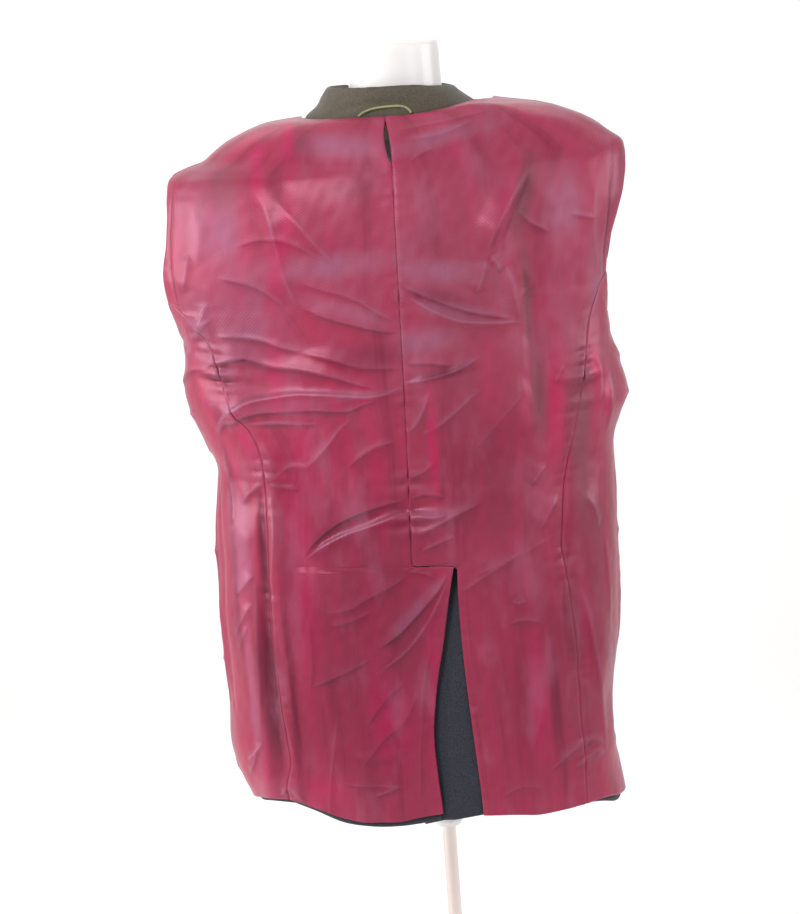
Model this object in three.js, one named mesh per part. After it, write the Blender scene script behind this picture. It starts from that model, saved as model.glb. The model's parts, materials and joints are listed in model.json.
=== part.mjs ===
// A man's blazer turned inside out, standing on a limbless dress form with a pole and a round base.
//
// Millimetres, +Z up. The floor is z = 0 and the pole stands on x = 0, y = 0. -Y is the back of the
// blazer and +Y its front; "left" is the side at -X and "right" the side at +X.
//
// The cloth hangs on one set of horizontal sections (BODY). Every panel is a thin wall cut out of
// that surface between two seams, at its own depth below the outermost skin: lining and facings
// outside, the wool shell a few millimetres further in, the sleeves between the shell and the form.
import * as THREE from 'three';

// ---------------------------------------------------------------------------------- driving sizes
const SEAM_GAP = 0.5;          // clear space between two panels that a seam joins
const NECK_Z = 1486;           // height of the neck seam
const VENT_TOP_Z = 1012;       // top of the centre back vent
const VENT_STEP_Z = 1006;      // just under the vent's short top seam
const VENT_STEP_GAP = 3;       // how far the right back stays clear where the flap's top seam starts
const HEM_BLEND_Z = 816;       // below this height the rows fan out to the hem's own line
const HEM_ROW_Z = 690;         // nominal height of the lowest row
const BREAK_Z = 1130;          // height where the lapels start to roll

// Depths below the outermost skin, measured along the surface's normal: outer and inner face.
const DEPTH = {
  lining: [0, -1.0],
  facing: [0, -1.6],
  shell: [-5.8, -7.4],
  lapel: [-9.4, -11.4],
};

const ARMHOLE = { z: 1341, halfHeight: 91, back: 46, front: 60, topZ: 1437 };
const SLEEVE = {
  wall: 1.6, inset: 4.4, lip: 12, headSteps: 4, flatness: 0.85, bow: 7, forward: 6, headBow: 17,
};
const FINE = { back: 10, side: 4, front: 5 };        // columns of a lining panel
const COARSE = { back: 5, side: 4, front: 5 };       // columns of a shell panel
const COLLAR = { wall: 1.8, thickness: 6.2, shortFall: 4, from: 137, to: 403, stations: 26 };
const LOOP = { radius: 1.1, sides: 6, steps: 22 };
const PLEAT = { bottom: 1437, top: 1484, width: 7, leftShare: 0.7 };
const UNDERLAP = {
  left: -26, right: 61, top: 1000, deep: -8.8, shallow: -3.0, wall: 1.8, slope: 15, cells: 8,
};
const BASE = { radius: 150, thickness: 8, bevel: 2 };
const BOSS = { radius: 30, height: 34, bevel: 4 };
const POLE = { radius: 8, bottom: 42.3, top: 649.7 };
const SOCKET = { bottom: 650, top: 777.6, radius: 17.5, flange: 36, flangeHeight: 14, round: 9 };
const REST_GAP = 0.3;
const SKIN_DEPTH = -2;         // cloth deeper than this is pushed in by a trough but not out by a ridge
const FOLD_FADE = { start: 0.12, length: 0.25 };     // sines between which folds fade to the sides
const HEM_LOOK_Z = 720;        // height at which the hem's tables are read

// ---------------------------------------------------------------------------------- short tables
/** Turns column names and rows of numbers into a list of named rows. */
function table(names, ...rows) {
  return rows.map((row) => Object.fromEntries(names.map((name, i) => [name, row[i]])));
}

// The hanging cloth: half widths to the left, right, back and front of the pole axis, and the
// exponent of the section's superellipse (2 is an ellipse, larger is squarer).
const BODY = table(
  ['z', 'left', 'right', 'back', 'front', 'square'],
  [670, 219, 211, 160, 152, 2.6],
  [720, 230, 203, 159, 151, 2.6],
  [745, 238, 201, 158, 150, 2.6],
  [770, 244, 198, 157, 150, 2.6],
  [816, 243, 199, 155, 150, 2.6],
  [867, 243, 210, 153, 150, 2.6],
  [928, 245, 215, 151, 150, 2.6],
  [982, 242, 217, 148, 150, 2.6],
  [1045, 239, 218, 146, 150, 2.6],
  [1081, 234, 217, 143, 151, 2.5],
  [1107, 232, 217, 141, 152, 2.5],
  [1136, 242, 226, 139, 153, 2.5],
  [1156, 249, 234, 138, 154, 2.5],
  [1192, 260, 228, 136, 155, 2.5],
  [1222, 258, 221, 134, 156, 2.5],
  [1252, 258, 219, 132, 157, 2.4],
  [1287, 269, 219, 131, 157, 2.4],
  [1325, 272, 227, 130, 156, 2.4],
  [1361, 267, 237, 128, 152, 2.3],
  [1390, 263, 242, 124, 146, 2.3],
  [1413, 261, 244, 119, 137, 2.2],
  [1430, 253, 242, 114, 127, 2.1],
  [1437, 241, 240, 111, 121, 2.0],
  [1447, 217, 229, 106, 112, 2.0],
  [1457, 202, 217, 101, 103, 2.0],
  [1467, 184, 201, 95, 93, 2.0],
  [1476, 163, 180, 87, 82, 2.0],
  [1482, 144, 158, 80, 73, 2.0],
  [NECK_Z, 106, 106, 75, 66, 2.0],
);

// The rows of every panel, from the hem up to the neck.
const ROWS = [
  HEM_ROW_Z, 730, 770, HEM_BLEND_Z, 867, 928, 982, VENT_STEP_Z, VENT_TOP_Z, 1045, 1081, 1107, 1136,
  1156, 1192, 1222, 1252, 1287, 1298, 1325, 1361, 1390, 1413, 1430, 1437, 1447, 1457, 1467, 1476,
  1482, NECK_Z,
];
const SEAM_TOP_Z = 1298;       // where the two side seams run into the armhole

// Hem heights against x: the lining's edge and the wool's edge, on the back and on the front.
const HEM_BACK = table(
  ['x', 'lining', 'wool'],
  [-230, 720, 711], [-212, 733, 726], [-187, 742, 735], [-165, 744, 737], [-141, 736, 728],
  [-119, 728, 720], [-84, 723, 716], [-54, 722, 716], [-26, 726, 718], [-5, 728, 719],
  [39, 722, 723], [73, 719, 722], [118, 714, 717], [149, 713, 714], [174, 709, 705],
  [194, 697, 690], [209, 686, 678],
);
const UNDERLAP_HEM = table(['x', 'z'], [-26, 715], [-2, 718], [39, 722], [61, 721]);
const HEM_FRONT = table(
  ['x', 'lining', 'wool'],
  [-230, 720, 711], [-120, 712, 703], [-60, 710, 701], [0, 712, 703], [60, 704, 695],
  [120, 700, 691], [209, 686, 678],
);

// Seams, as x against height.
const CENTRE_BACK = table(
  ['z', 'x'], [1012, -20], [1134, -16], [1222, -14], [1393, -11], [1437, -10], [1466, -13], [NECK_Z, -14],
);
const BACK_SEAM_LEFT = table(
  ['z', 'x'],
  [690, -165], [794, -168], [969, -177], [1100, -170], [1144, -174], [1197, -206], [1245, -219],
  [1270, -230], [1298, -258],
);
const BACK_SEAM_RIGHT = table(
  ['z', 'x'],
  [690, 158], [864, 154], [1014, 146], [1081, 156], [1152, 172], [1198, 181], [1245, 190], [1270, 196],
  [1298, 212],
);
const FRONT_SEAM_Y = table(['z', 'y'], [690, 20], [1000, 22], [1200, 38], [1298, 52.9]);
const FLAP_EDGE = table(
  ['z', 'x'],
  [690, -5], [737, -7], [801, -10], [837, -8], [873, -2], [911, 7], [959, 15], [VENT_STEP_Z, 25],
);
const UNDERLAP_EDGE = table(
  ['z', 'x'], [690, 40], [724, 39], [750, 37], [811, 34], [876, 30], [958, 27], [VENT_STEP_Z, 28.6],
);
const SHELL_VENT_EDGE = table(['z', 'x'], [HEM_ROW_Z, 64], [VENT_STEP_Z, 64]);
const FRONT_EDGE = table(
  ['z', 'x'], [690, 64], [712, 42], [740, 28], [800, 18], [900, 12], [BREAK_Z, 9], [1300, 30], [1420, 52],
  [NECK_Z, 70],
);
const FACING_SEAM = table(
  ['z', 'x'],
  [690, 116], [900, 90], [1130, 86], [1222, 98], [1287, 108], [1361, 122], [1413, 134], [1447, 142],
  [1467, 149], [1476, 154],
);
const LAPEL_WIDTH = table(['z', 'width'], [BREAK_Z, 6], [1250, 40], [1361, 62], [1413, 66], [1447, 50]);

// The largest folds of the back, each a soft ridge (height > 0) or trough (height < 0) between two
// places given by x and height, with its half width.
const FOLDS = table(
  ['x1', 'z1', 'x2', 'z2', 'height', 'width'],
  [-166, 1142, -164, 770, 6, 15],
  [-186, 1130, -186, 800, -5, 14],
  [148, 1438, 85, 1343, 6, 18],
  [133, 1401, 128, 1150, -6, 18],
  [158, 976, 198, 761, 7, 16],
  [-142, 1017, -28, 1075, -5, 14],
  [-112, 1005, -30, 1045, 4, 14],
  [-200, 1250, -43, 1207, 4, 14],
  [-215, 1185, -50, 1190, 5, 13],
  [22, 1001, -61, 921, 5, 16],
  [20, 1050, 90, 1080, 4, 16],
  [-160, 1420, -80, 1345, 4, 18],
  [162, 1156, 147, 953, -5, 14],
  [-90, 800, -96, 730, 5, 16],
  [90, 800, 96, 720, 5, 16],
);
// Their plainer counterparts on the two fronts.
const FRONT_FOLDS = table(
  ['x1', 'z1', 'x2', 'z2', 'height', 'width'],
  [-170, 1400, -120, 1180, 6, 20],
  [175, 1400, 125, 1180, 6, 20],
  [-150, 1060, -140, 760, 6, 20],
  [150, 1060, 150, 740, 6, 20],
);

// The dress form: half width, and half depths to the back and the front.
const FORM = table(
  ['z', 'half', 'back', 'front', 'square'],
  [778, 136, 86, 76, 2.2],
  [784, 146, 95, 85, 2.2],
  [800, 154, 102, 92, 2.2],
  [840, 160, 107, 98, 2.2],
  [890, 160, 105, 98, 2.2],
  [950, 156, 97, 98, 2.2],
  [1010, 152, 90, 100, 2.2],
  [1070, 152, 88, 107, 2.2],
  [1130, 158, 95, 116, 2.2],
  [1190, 168, 105, 125, 2.2],
  [1245, 176, 112, 129, 2.2],
  [1300, 182, 114, 126, 2.2],
  [1350, 187, 111, 117, 2.2],
  [1390, 186, 105, 104, 2.2],
  [1418, 172, 93, 92, 2.1],
  [1438, 146, 80, 80, 2.1],
  [1451, 116, 69, 72, 2.0],
  [1462, 86, 60, 66, 2.0],
  [1473, 64, 55, 59, 2.0],
  [1486, 54, 51, 53, 2.0],
  [1505, 50, 50, 50, 2.0],
  [1554, 50, 50, 50, 2.0],
  [1558.5, 48.5, 48.5, 48.5, 2.0],
  [1560, 45, 45, 45, 2.0],
);
const FORM_SIDES = 32;

// The sleeves below the armhole: the middle of the flattened tube, its thickness and its width.
const SLEEVE_LEFT = table(
  ['z', 'x', 'thick', 'wide'],
  [1225, -217, 28, 96], [1140, -205, 26, 124], [1050, -201, 24, 134], [950, -204, 24, 132],
  [870, -206, 22, 130], [795, -206, 22, 128],
);
const SLEEVE_RIGHT = table(
  ['z', 'x', 'thick', 'wide'],
  [1225, 196, 19, 92], [1140, 192, 20, 120], [1050, 189, 20, 132], [950, 187, 18, 130],
  [870, 182, 16, 126], [795, 173, 15, 122],
);

// The collar's stand: half widths of the ring at its seam and at its fold, the height at the back,
// and how much lower the ring is at each side and at the collar's two ends.
const COLLAR_BASE = {
  left: 103.5, right: 93, back: 73.4, front: 64, z: NECK_Z - 1.2, dropLeft: 0, dropRight: 0,
};
const COLLAR_TOP = { left: 72, right: 62, back: 64, front: 56, z: 1517.5, dropLeft: 0.5, dropRight: 9 };
const COLLAR_END_DROP = 4;

// The lining and the facing stand a little higher against the collar on the right shoulder.
const NECK_RISE = { height: 8, x: 90, width: 44, from: 1448 };

// The hanger loop, a braid that arches over the neck seam.
const LOOP_PATH = table(
  ['x', 'y', 'z'],
  [-42, -69.3, 1487.8], [-37, -69.6, 1491.0], [-28, -70.5, 1494.2], [-14, -71.8, 1495.8],
  [2, -72.2, 1495.6], [10, -72.9, 1493.0], [14.5, -74.0, 1488.2],
);

// ---------------------------------------------------------------------------------- small helpers
const radians = THREE.MathUtils.degToRad;
const { lerp, clamp } = THREE.MathUtils;

/** Reads one column of a table at a place along another column, in straight lines. */
function read(rows, key, along, place) {
  const last = rows.length - 1;
  if (place <= rows[0][along]) return rows[0][key];
  if (place >= rows[last][along]) return rows[last][key];
  const i = rows.findIndex((row) => row[along] > place);
  const share = (place - rows[i - 1][along]) / (rows[i][along] - rows[i - 1][along]);
  return lerp(rows[i - 1][key], rows[i][key], share);
}

const atHeight = (rows, key, z) => read(rows, key, 'z', z);
const signedPower = (value, power) => Math.sign(value) * Math.abs(value) ** power;
const smooth = (share) => share * share * (3 - 2 * share);

/** A closed indexed geometry with its faces pointing out. */
function closedGeometry(points, faces) {
  const volume = faces.reduce((sum, [a, b, c]) => {
    const cross = new THREE.Vector3().crossVectors(points[b], points[c]);
    return sum + points[a].dot(cross);
  }, 0);
  const index = faces.flatMap(([a, b, c]) => (volume > 0 ? [a, b, c] : [a, c, b]));
  const geometry = new THREE.BufferGeometry();
  geometry.setAttribute('position', new THREE.Float32BufferAttribute(points.flatMap((p) => p.toArray()), 3));
  geometry.setIndex(index);
  geometry.computeVertexNormals();
  return geometry;
}

/** Two triangles for the quad a-b-c-d. */
const quad = (a, b, c, d) => [[a, b, c], [a, c, d]];

/**
 * A wall between an outer and an inner grid of the same size. `grid(column, row, face)` gives a
 * point, with face 0 outside and 1 inside. A ring closes on itself; a sheet gets two side edges.
 */
function wall(columns, rows, ring, grid) {
  const across = ring ? columns : columns + 1;
  const points = [];
  for (let face = 0; face < 2; face += 1) {
    for (let row = 0; row <= rows; row += 1) {
      for (let column = 0; column < across; column += 1) points.push(grid(column, row, face));
    }
  }
  const at = (column, row, face) => (face * (rows + 1) + row) * across + (column % across);
  const faces = [];
  for (let column = 0; column < columns; column += 1) {
    const next = column + 1;
    for (let row = 0; row < rows; row += 1) {
      const up = row + 1;
      faces.push(...quad(at(column, row, 0), at(next, row, 0), at(next, up, 0), at(column, up, 0)));
      faces.push(...quad(at(column, row, 1), at(column, up, 1), at(next, up, 1), at(next, row, 1)));
    }
    faces.push(...quad(at(column, 0, 0), at(column, 0, 1), at(next, 0, 1), at(next, 0, 0)));
    faces.push(...quad(at(column, rows, 0), at(next, rows, 0), at(next, rows, 1), at(column, rows, 1)));
  }
  for (let row = 0; !ring && row < rows; row += 1) {
    const up = row + 1;
    const end = columns;
    faces.push(...quad(at(0, row, 0), at(0, up, 0), at(0, up, 1), at(0, row, 1)));
    faces.push(...quad(at(end, row, 0), at(end, row, 1), at(end, up, 1), at(end, up, 0)));
  }
  return closedGeometry(points, faces);
}

// ------------------------------------------------------------------------- the surface of the cloth
/** The section of the cloth at a height: its half widths towards an angle's quarter. */
function sectionAt(z, cosine, sine) {
  return {
    a: atHeight(BODY, cosine < 0 ? 'left' : 'right', z),
    b: atHeight(BODY, sine < 0 ? 'back' : 'front', z),
    n: atHeight(BODY, 'square', z),
  };
}

/** How far out a place is, against the section: 1 on the surface. */
function reach(x, y, z) {
  const { a, b, n } = sectionAt(z, x, y);
  return (Math.abs(x) / a) ** n + (Math.abs(y) / b) ** n;
}

/** The outward normal of the hanging cloth at a place on it. */
function normalAt(x, y, z) {
  const { a, b, n } = sectionAt(z, x, y);
  const step = 3;
  const low = Math.max(z - step, BODY[0].z);
  const high = Math.min(z + step, NECK_Z);
  const along = (reach(x, y, high) - reach(x, y, low)) / (high - low);
  const gradient = (value, half) => (n * signedPower(value / half, n - 1)) / half;
  return new THREE.Vector3(gradient(x, a), gradient(y, b), along).normalize();
}

/** A soft ridge or trough at x, z from one fold of a table. */
function foldHeight(fold, x, z) {
  const start = new THREE.Vector2(fold.x1, fold.z1);
  const run = new THREE.Vector2(fold.x2, fold.z2).sub(start);
  const place = new THREE.Vector2(x, z).sub(start);
  const share = clamp(place.dot(run) / run.lengthSq(), 0, 1);
  const away = place.addScaledVector(run, -share).length();
  return fold.height * Math.exp(-((away / fold.width) ** 2));
}

/** All folds at a place; they fade out towards the two sides. */
function folds(x, z, sine) {
  const rows = sine < 0 ? FOLDS : FRONT_FOLDS;
  const fade = smooth(clamp((Math.abs(sine) - FOLD_FADE.start) / FOLD_FADE.length, 0, 1));
  return fade * rows.reduce((sum, fold) => sum + foldHeight(fold, x, z), 0);
}

/** How far the outermost cloth is lifted towards the collar at a place. */
function neckRise(x, z) {
  const share = clamp((z - NECK_RISE.from) / (NECK_Z - NECK_RISE.from), 0, 1);
  return NECK_RISE.height * smooth(share) * Math.exp(-(((x - NECK_RISE.x) / NECK_RISE.width) ** 2));
}

/** The point of the cloth at an angle (0 is right, 90 front, 180 left, 270 back), height, depth. */
function clothPoint(angle, z, depth) {
  const cosine = Math.cos(angle);
  const sine = Math.sin(angle);
  const { a, b, n } = sectionAt(z, cosine, sine);
  const x = a * signedPower(cosine, 2 / n);
  const y = b * signedPower(sine, 2 / n);
  const fold = folds(x, z, sine);
  const inside = depth < SKIN_DEPTH;
  const skin = inside ? Math.min(fold, 0) : fold;
  const high = inside ? z : z + neckRise(x, z);
  return new THREE.Vector3(x, y, high).addScaledVector(normalAt(x, y, z), depth + skin);
}

/** The angle of a place on the back or the front, from its x. */
function angleAtX(z, x, onBack) {
  const { a, n } = sectionAt(z, x, 0);
  const cosine = Math.sign(x) * Math.min(Math.abs(x) / a, 1) ** (n / 2);
  const turned = Math.acos(cosine);
  if (!onBack) return turned;
  return x < 0 ? 2 * Math.PI - turned : -turned;
}

/** The angle of a place on the left or the right side, from its y. */
function angleAtY(z, y, side) {
  const { b, n } = sectionAt(z, side, y);
  const turned = Math.asin(Math.sign(y) * Math.min(Math.abs(y) / b, 1) ** (n / 2));
  return side < 0 ? Math.PI - turned : turned;
}

/** Half the armhole's width at a height, towards the back or the front. */
function armholeHalf(z, half) {
  return half * Math.sqrt(Math.max(0, 1 - ((z - ARMHOLE.z) / ARMHOLE.halfHeight) ** 2));
}

/** The height of the hem below a place, on the lining or on the wool. */
function hemAt(angle, kind) {
  const point = clothPoint(angle, HEM_LOOK_Z, 0);
  return read(point.y < 0 ? HEM_BACK : HEM_FRONT, kind, 'x', point.x);
}

/** The real height of a row: low rows fan out so that the lowest follows the hem. */
function rowHeight(row, angle, kind) {
  if (row >= HEM_BLEND_Z) return row;
  const share = (row - HEM_ROW_Z) / (HEM_BLEND_Z - HEM_ROW_Z);
  return lerp(hemAt(angle, kind), HEM_BLEND_Z, share);
}

/** The angle that covers half a seam gap at a place of the surface. */
function gapAngle(angle, z) {
  const step = 0.004;
  const run = clothPoint(angle + step, z, 0).distanceTo(clothPoint(angle - step, z, 0));
  return (SEAM_GAP * step) / run;
}

/** A panel: a wall between two seams, given as angles against height, from the hem to `top`. */
function panel({ from, to, columns, depth, kind, top = NECK_Z, bottom = HEM_ROW_Z, lift = null }) {
  const rows = ROWS.filter((row) => row >= bottom && row <= top);
  return wall(columns, rows.length - 1, false, (column, rowIndex, face) => {
    const row = rows[rowIndex];
    const share = column / columns;
    const start = from(row) + gapAngle(from(row), row);
    const end = to(row) - gapAngle(to(row), row);
    const angle = lerp(start, end, share);
    const z = lift ? lift(row, angle, share) : rowHeight(row, angle, kind);
    return clothPoint(angle, z, depth[face]);
  });
}

// ---------------------------------------------------------------------------------- seams as angles
const LEFT = { sign: -1, middle: Math.PI, backSeam: BACK_SEAM_LEFT };
const RIGHT = { sign: 1, middle: 0, backSeam: BACK_SEAM_RIGHT };

/** The outer edge of a back panel: side seam, then armhole, then shoulder seam. */
function backOuter(side) {
  return (z) => {
    if (z < SEAM_TOP_Z) return angleAtX(z, atHeight(side.backSeam, 'x', z), true);
    return angleAtY(z, -armholeHalf(z, ARMHOLE.back), side.sign);
  };
}

/** The outer edge of a front panel: side seam, then armhole, then shoulder seam. */
function frontOuter(side) {
  return (z) => {
    if (z < SEAM_TOP_Z) return angleAtY(z, atHeight(FRONT_SEAM_Y, 'y', z), side.sign);
    return angleAtY(z, armholeHalf(z, ARMHOLE.front), side.sign);
  };
}

/** How far the neck pleat stands open at a height. */
function pleatOpening(z) {
  const share = clamp((z - PLEAT.bottom) / (PLEAT.top - PLEAT.bottom), 0, 1);
  return PLEAT.width * Math.sin(Math.PI * share);
}

/** The centre edge of the left back, near 270 degrees; below the vent's top it is the flap's edge. */
function backCentreLeft(inset) {
  return (z) => {
    const centre = atHeight(CENTRE_BACK, 'x', z) - PLEAT.leftShare * pleatOpening(z);
    const x = z < VENT_TOP_Z ? atHeight(FLAP_EDGE, 'x', z) - inset : centre;
    const angle = angleAtX(z, x, true);
    return angle < 0 ? angle + 2 * Math.PI : angle;
  };
}

/** The centre edge of the right back, near -90 degrees; below the vent's top it follows `edge`. */
function backCentreRight(edge) {
  return (z) => {
    const centre = atHeight(CENTRE_BACK, 'x', z) + (1 - PLEAT.leftShare) * pleatOpening(z);
    const step = z === VENT_TOP_Z ? VENT_STEP_GAP : 0;
    const x = z < VENT_TOP_Z ? atHeight(edge, 'x', z) : centre + step;
    const angle = angleAtX(z, x, true);
    return angle > Math.PI ? angle - 2 * Math.PI : angle;
  };
}

/** The front edge, then the roll line of the lapel, `inset` further out. */
function frontEdge(side, inset) {
  return (z) => angleAtX(z, side.sign * (atHeight(FRONT_EDGE, 'x', z) + inset), false);
}

/** The seam between the facing and the front lining; near the neck it runs along the shoulder. */
function facingSeam(side) {
  return (z) => {
    const half = sectionAt(z, side.sign, 1).a;
    const x = Math.min(atHeight(FACING_SEAM, 'x', z), half * 0.995);
    return angleAtX(z, side.sign * x, false);
  };
}

/** Puts two edges in the order of growing angle. */
function ordered(first, second) {
  const swap = first(HEM_ROW_Z) > second(HEM_ROW_Z);
  return swap ? { from: second, to: first } : { from: first, to: second };
}

/** A place on the armhole's bottom, a share of the way from the back seam to the front seam. */
function armholeBottom(share) {
  const y = lerp(-armholeHalf(SEAM_TOP_Z, ARMHOLE.back), armholeHalf(SEAM_TOP_Z, ARMHOLE.front), share);
  const half = y < 0 ? ARMHOLE.back : ARMHOLE.front;
  return { y, z: ARMHOLE.z - ARMHOLE.halfHeight * Math.sqrt(1 - (y / half) ** 2) };
}

/** The top edge of a side panel follows the bottom of the armhole. */
function sideLift(side, kind) {
  const flatZ = 1222;
  return (row, angle, share) => {
    if (row <= flatZ) return rowHeight(row, angle, kind);
    const { z } = armholeBottom(side.sign < 0 ? 1 - share : share);
    return lerp(flatZ, z, (row - flatZ) / (SEAM_TOP_Z - flatZ));
  };
}

// ---------------------------------------------------------------------------------- cloth pieces
/** The three panels of one side, in the lining or in the shell. */
function sidePanels(side, kind, depth, fine) {
  const isLining = kind === 'lining';
  const centreLeft = backCentreLeft(isLining ? 0 : 1.5);
  const centreRight = backCentreRight(isLining ? UNDERLAP_EDGE : SHELL_VENT_EDGE);
  const back = side.sign < 0
    ? { from: backOuter(side), to: centreLeft }
    : { from: centreRight, to: backOuter(side) };
  const inner = isLining ? facingSeam(side) : frontEdge(side, 1.5);
  return {
    back: panel({ ...back, columns: fine.back, depth, kind }),
    side: panel({
      ...ordered(backOuter(side), frontOuter(side)),
      columns: fine.side,
      depth,
      kind,
      top: SEAM_TOP_Z,
      lift: sideLift(side, kind),
    }),
    front: panel({ ...ordered(frontOuter(side), inner), columns: fine.front, depth, kind }),
  };
}

/** The wool facing along a front edge, from the lining's seam to the edge. */
function facing(side) {
  return panel({
    ...ordered(facingSeam(side), frontEdge(side, 0)),
    columns: 4,
    depth: DEPTH.facing,
    kind: 'wool',
  });
}

/** The lapel, turned in along the roll line and lying under the shell. */
function lapel(side) {
  const outer = (z) => {
    const x = atHeight(FRONT_EDGE, 'x', z) + atHeight(LAPEL_WIDTH, 'width', z);
    return angleAtX(z, side.sign * x, false);
  };
  return panel({
    ...ordered(outer, frontEdge(side, 2)),
    columns: 3,
    depth: DEPTH.lapel,
    kind: 'wool',
    bottom: BREAK_Z,
    top: 1447,
  });
}

/** The vent's underlap: wool that lies deep under the flap and rises to the right back lining. */
function ventUnderlap() {
  const { left, right, top, deep, shallow, slope, cells } = UNDERLAP;
  return wall(cells, cells, false, (column, row, face) => {
    const x = lerp(left, right, column / cells);
    const z = lerp(read(UNDERLAP_HEM, 'z', 'x', x), top, row / cells);
    const rise = clamp((x - atHeight(FLAP_EDGE, 'x', z) - 1) / slope, 0, 1);
    const depth = lerp(deep, shallow, smooth(rise)) - face * UNDERLAP.wall;
    return clothPoint(angleAtX(z, x, true), z, depth);
  });
}

/** The armhole's outline as places (angle, height, turn about its middle), inset for the sleeve. */
function armholeOutline(side) {
  const rows = ROWS.filter((row) => row >= SEAM_TOP_Z && row < ARMHOLE.topZ);
  const shrink = (z) => ARMHOLE.z + (z - ARMHOLE.z) * (1 - SLEEVE.inset / ARMHOLE.halfHeight);
  const edge = (row, sign, half) => {
    const y = sign * armholeHalf(row, half);
    const angle = angleAtY(row, y * (1 - SLEEVE.inset / half), side.sign);
    return { angle, z: shrink(row), turn: Math.atan2((row - ARMHOLE.z) / ARMHOLE.halfHeight, y / half) };
  };
  const back = backOuter(side)(SEAM_TOP_Z);
  const front = frontOuter(side)(SEAM_TOP_Z);
  const between = Array.from({ length: FINE.side - 1 }, (_, i) => i + 1);
  const lowest = between.map((column) => {
    const share = column / FINE.side;
    const { y, z } = armholeBottom(share);
    const half = y < 0 ? ARMHOLE.back : ARMHOLE.front;
    const turn = Math.atan2((z - ARMHOLE.z) / ARMHOLE.halfHeight, y / half);
    const inward = 0.5 + (share - 0.5) * (1 - (2 * SLEEVE.inset) / ARMHOLE.front);
    return { angle: lerp(back, front, inward), z: shrink(z), turn };
  });
  return [
    { angle: side.middle, z: shrink(ARMHOLE.topZ), turn: Math.PI / 2 },
    ...rows.map((row) => edge(row, -1, ARMHOLE.back)).reverse(),
    ...lowest,
    ...rows.map((row) => edge(row, 1, ARMHOLE.front)),
  ];
}

/** The columns where a sleeve's two seams run, just under the creases of the flattened tube. */
function sleeveSeams(outline) {
  const furthest = (sign) => {
    const reaches = outline.map(({ turn }) => sign * Math.cos(turn));
    return reaches.indexOf(Math.max(...reaches));
  };
  return { back: furthest(-1) + 1, front: furthest(1) - 1 };
}

/**
 * One sleeve: a lip through the armhole, then a flattened tube that hangs inside, open below. It is
 * sewn from a top piece, which lies towards the form, and an under piece towards the side panel.
 */
function sleeve(side, rows) {
  const outline = armholeOutline(side);
  const sides = outline.length;
  const mouth = (place, depth) => clothPoint(place.angle, place.z, depth);
  const tube = ({ turn }, row) => {
    const y = (row.wide / 2) * signedPower(Math.cos(turn), SLEEVE.flatness);
    const bow = SLEEVE.bow * (y / (row.wide / 2)) ** 2;
    const rise = (row.thick / 2) * signedPower(Math.sin(turn), SLEEVE.flatness);
    return new THREE.Vector3(row.x - side.sign * (bow + rise), y + SLEEVE.forward, row.z);
  };
  const rings = [(place) => mouth(place, -1), (place) => mouth(place, -SLEEVE.lip)];
  for (let step = 1; step < SLEEVE.headSteps; step += 1) {
    const share = step / SLEEVE.headSteps;
    rings.push((place) => {
      const point = mouth(place, -SLEEVE.lip).lerp(tube(place, rows[0]), share);
      point.x -= side.sign * SLEEVE.headBow * Math.sin(Math.PI * share) * Math.max(Math.sin(place.turn), 0);
      return point;
    });
  }
  rows.forEach((row) => rings.push((place) => tube(place, row)));
  const grid = rings.map((ring) => outline.map(ring));
  const normal = (column, row) => {
    const before = grid[row][(column + sides - 1) % sides];
    const after = grid[row][(column + 1) % sides];
    const above = grid[Math.max(row - 1, 0)][column];
    const below = grid[Math.min(row + 1, grid.length - 1)][column];
    const around = new THREE.Vector3().subVectors(after, before);
    const down = new THREE.Vector3().subVectors(below, above);
    return around.cross(down).normalize();
  };
  const piece = (from, to) => {
    const columns = (to - from + sides) % sides;
    return wall(columns, grid.length - 1, false, (column, row, face) => {
      const index = (from + column) % sides;
      const point = grid[row][index].clone();
      if (column === 0 || column === columns) {
        const inner = grid[row][(index + (column === 0 ? 1 : sides - 1)) % sides];
        point.addScaledVector(inner.clone().sub(point).normalize(), SEAM_GAP);
      }
      const away = (face === 0 ? 0.5 : -0.5) * SLEEVE.wall;
      return point.addScaledVector(normal(index, row), away);
    });
  };
  const seams = sleeveSeams(outline);
  return { top: piece(seams.front, seams.back), under: piece(seams.back, seams.front) };
}

/** A point of the collar's seam ring or fold ring. */
function collarRing(ring, angle) {
  const cosine = Math.cos(angle);
  const sine = Math.sin(angle);
  const x = cosine * (cosine < 0 ? ring.left : ring.right);
  const y = sine * (sine < 0 ? ring.back : ring.front);
  const drop = (cosine < 0 ? ring.dropLeft : ring.dropRight) * cosine ** 2;
  return new THREE.Vector3(x, y, ring.z - drop);
}

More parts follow.
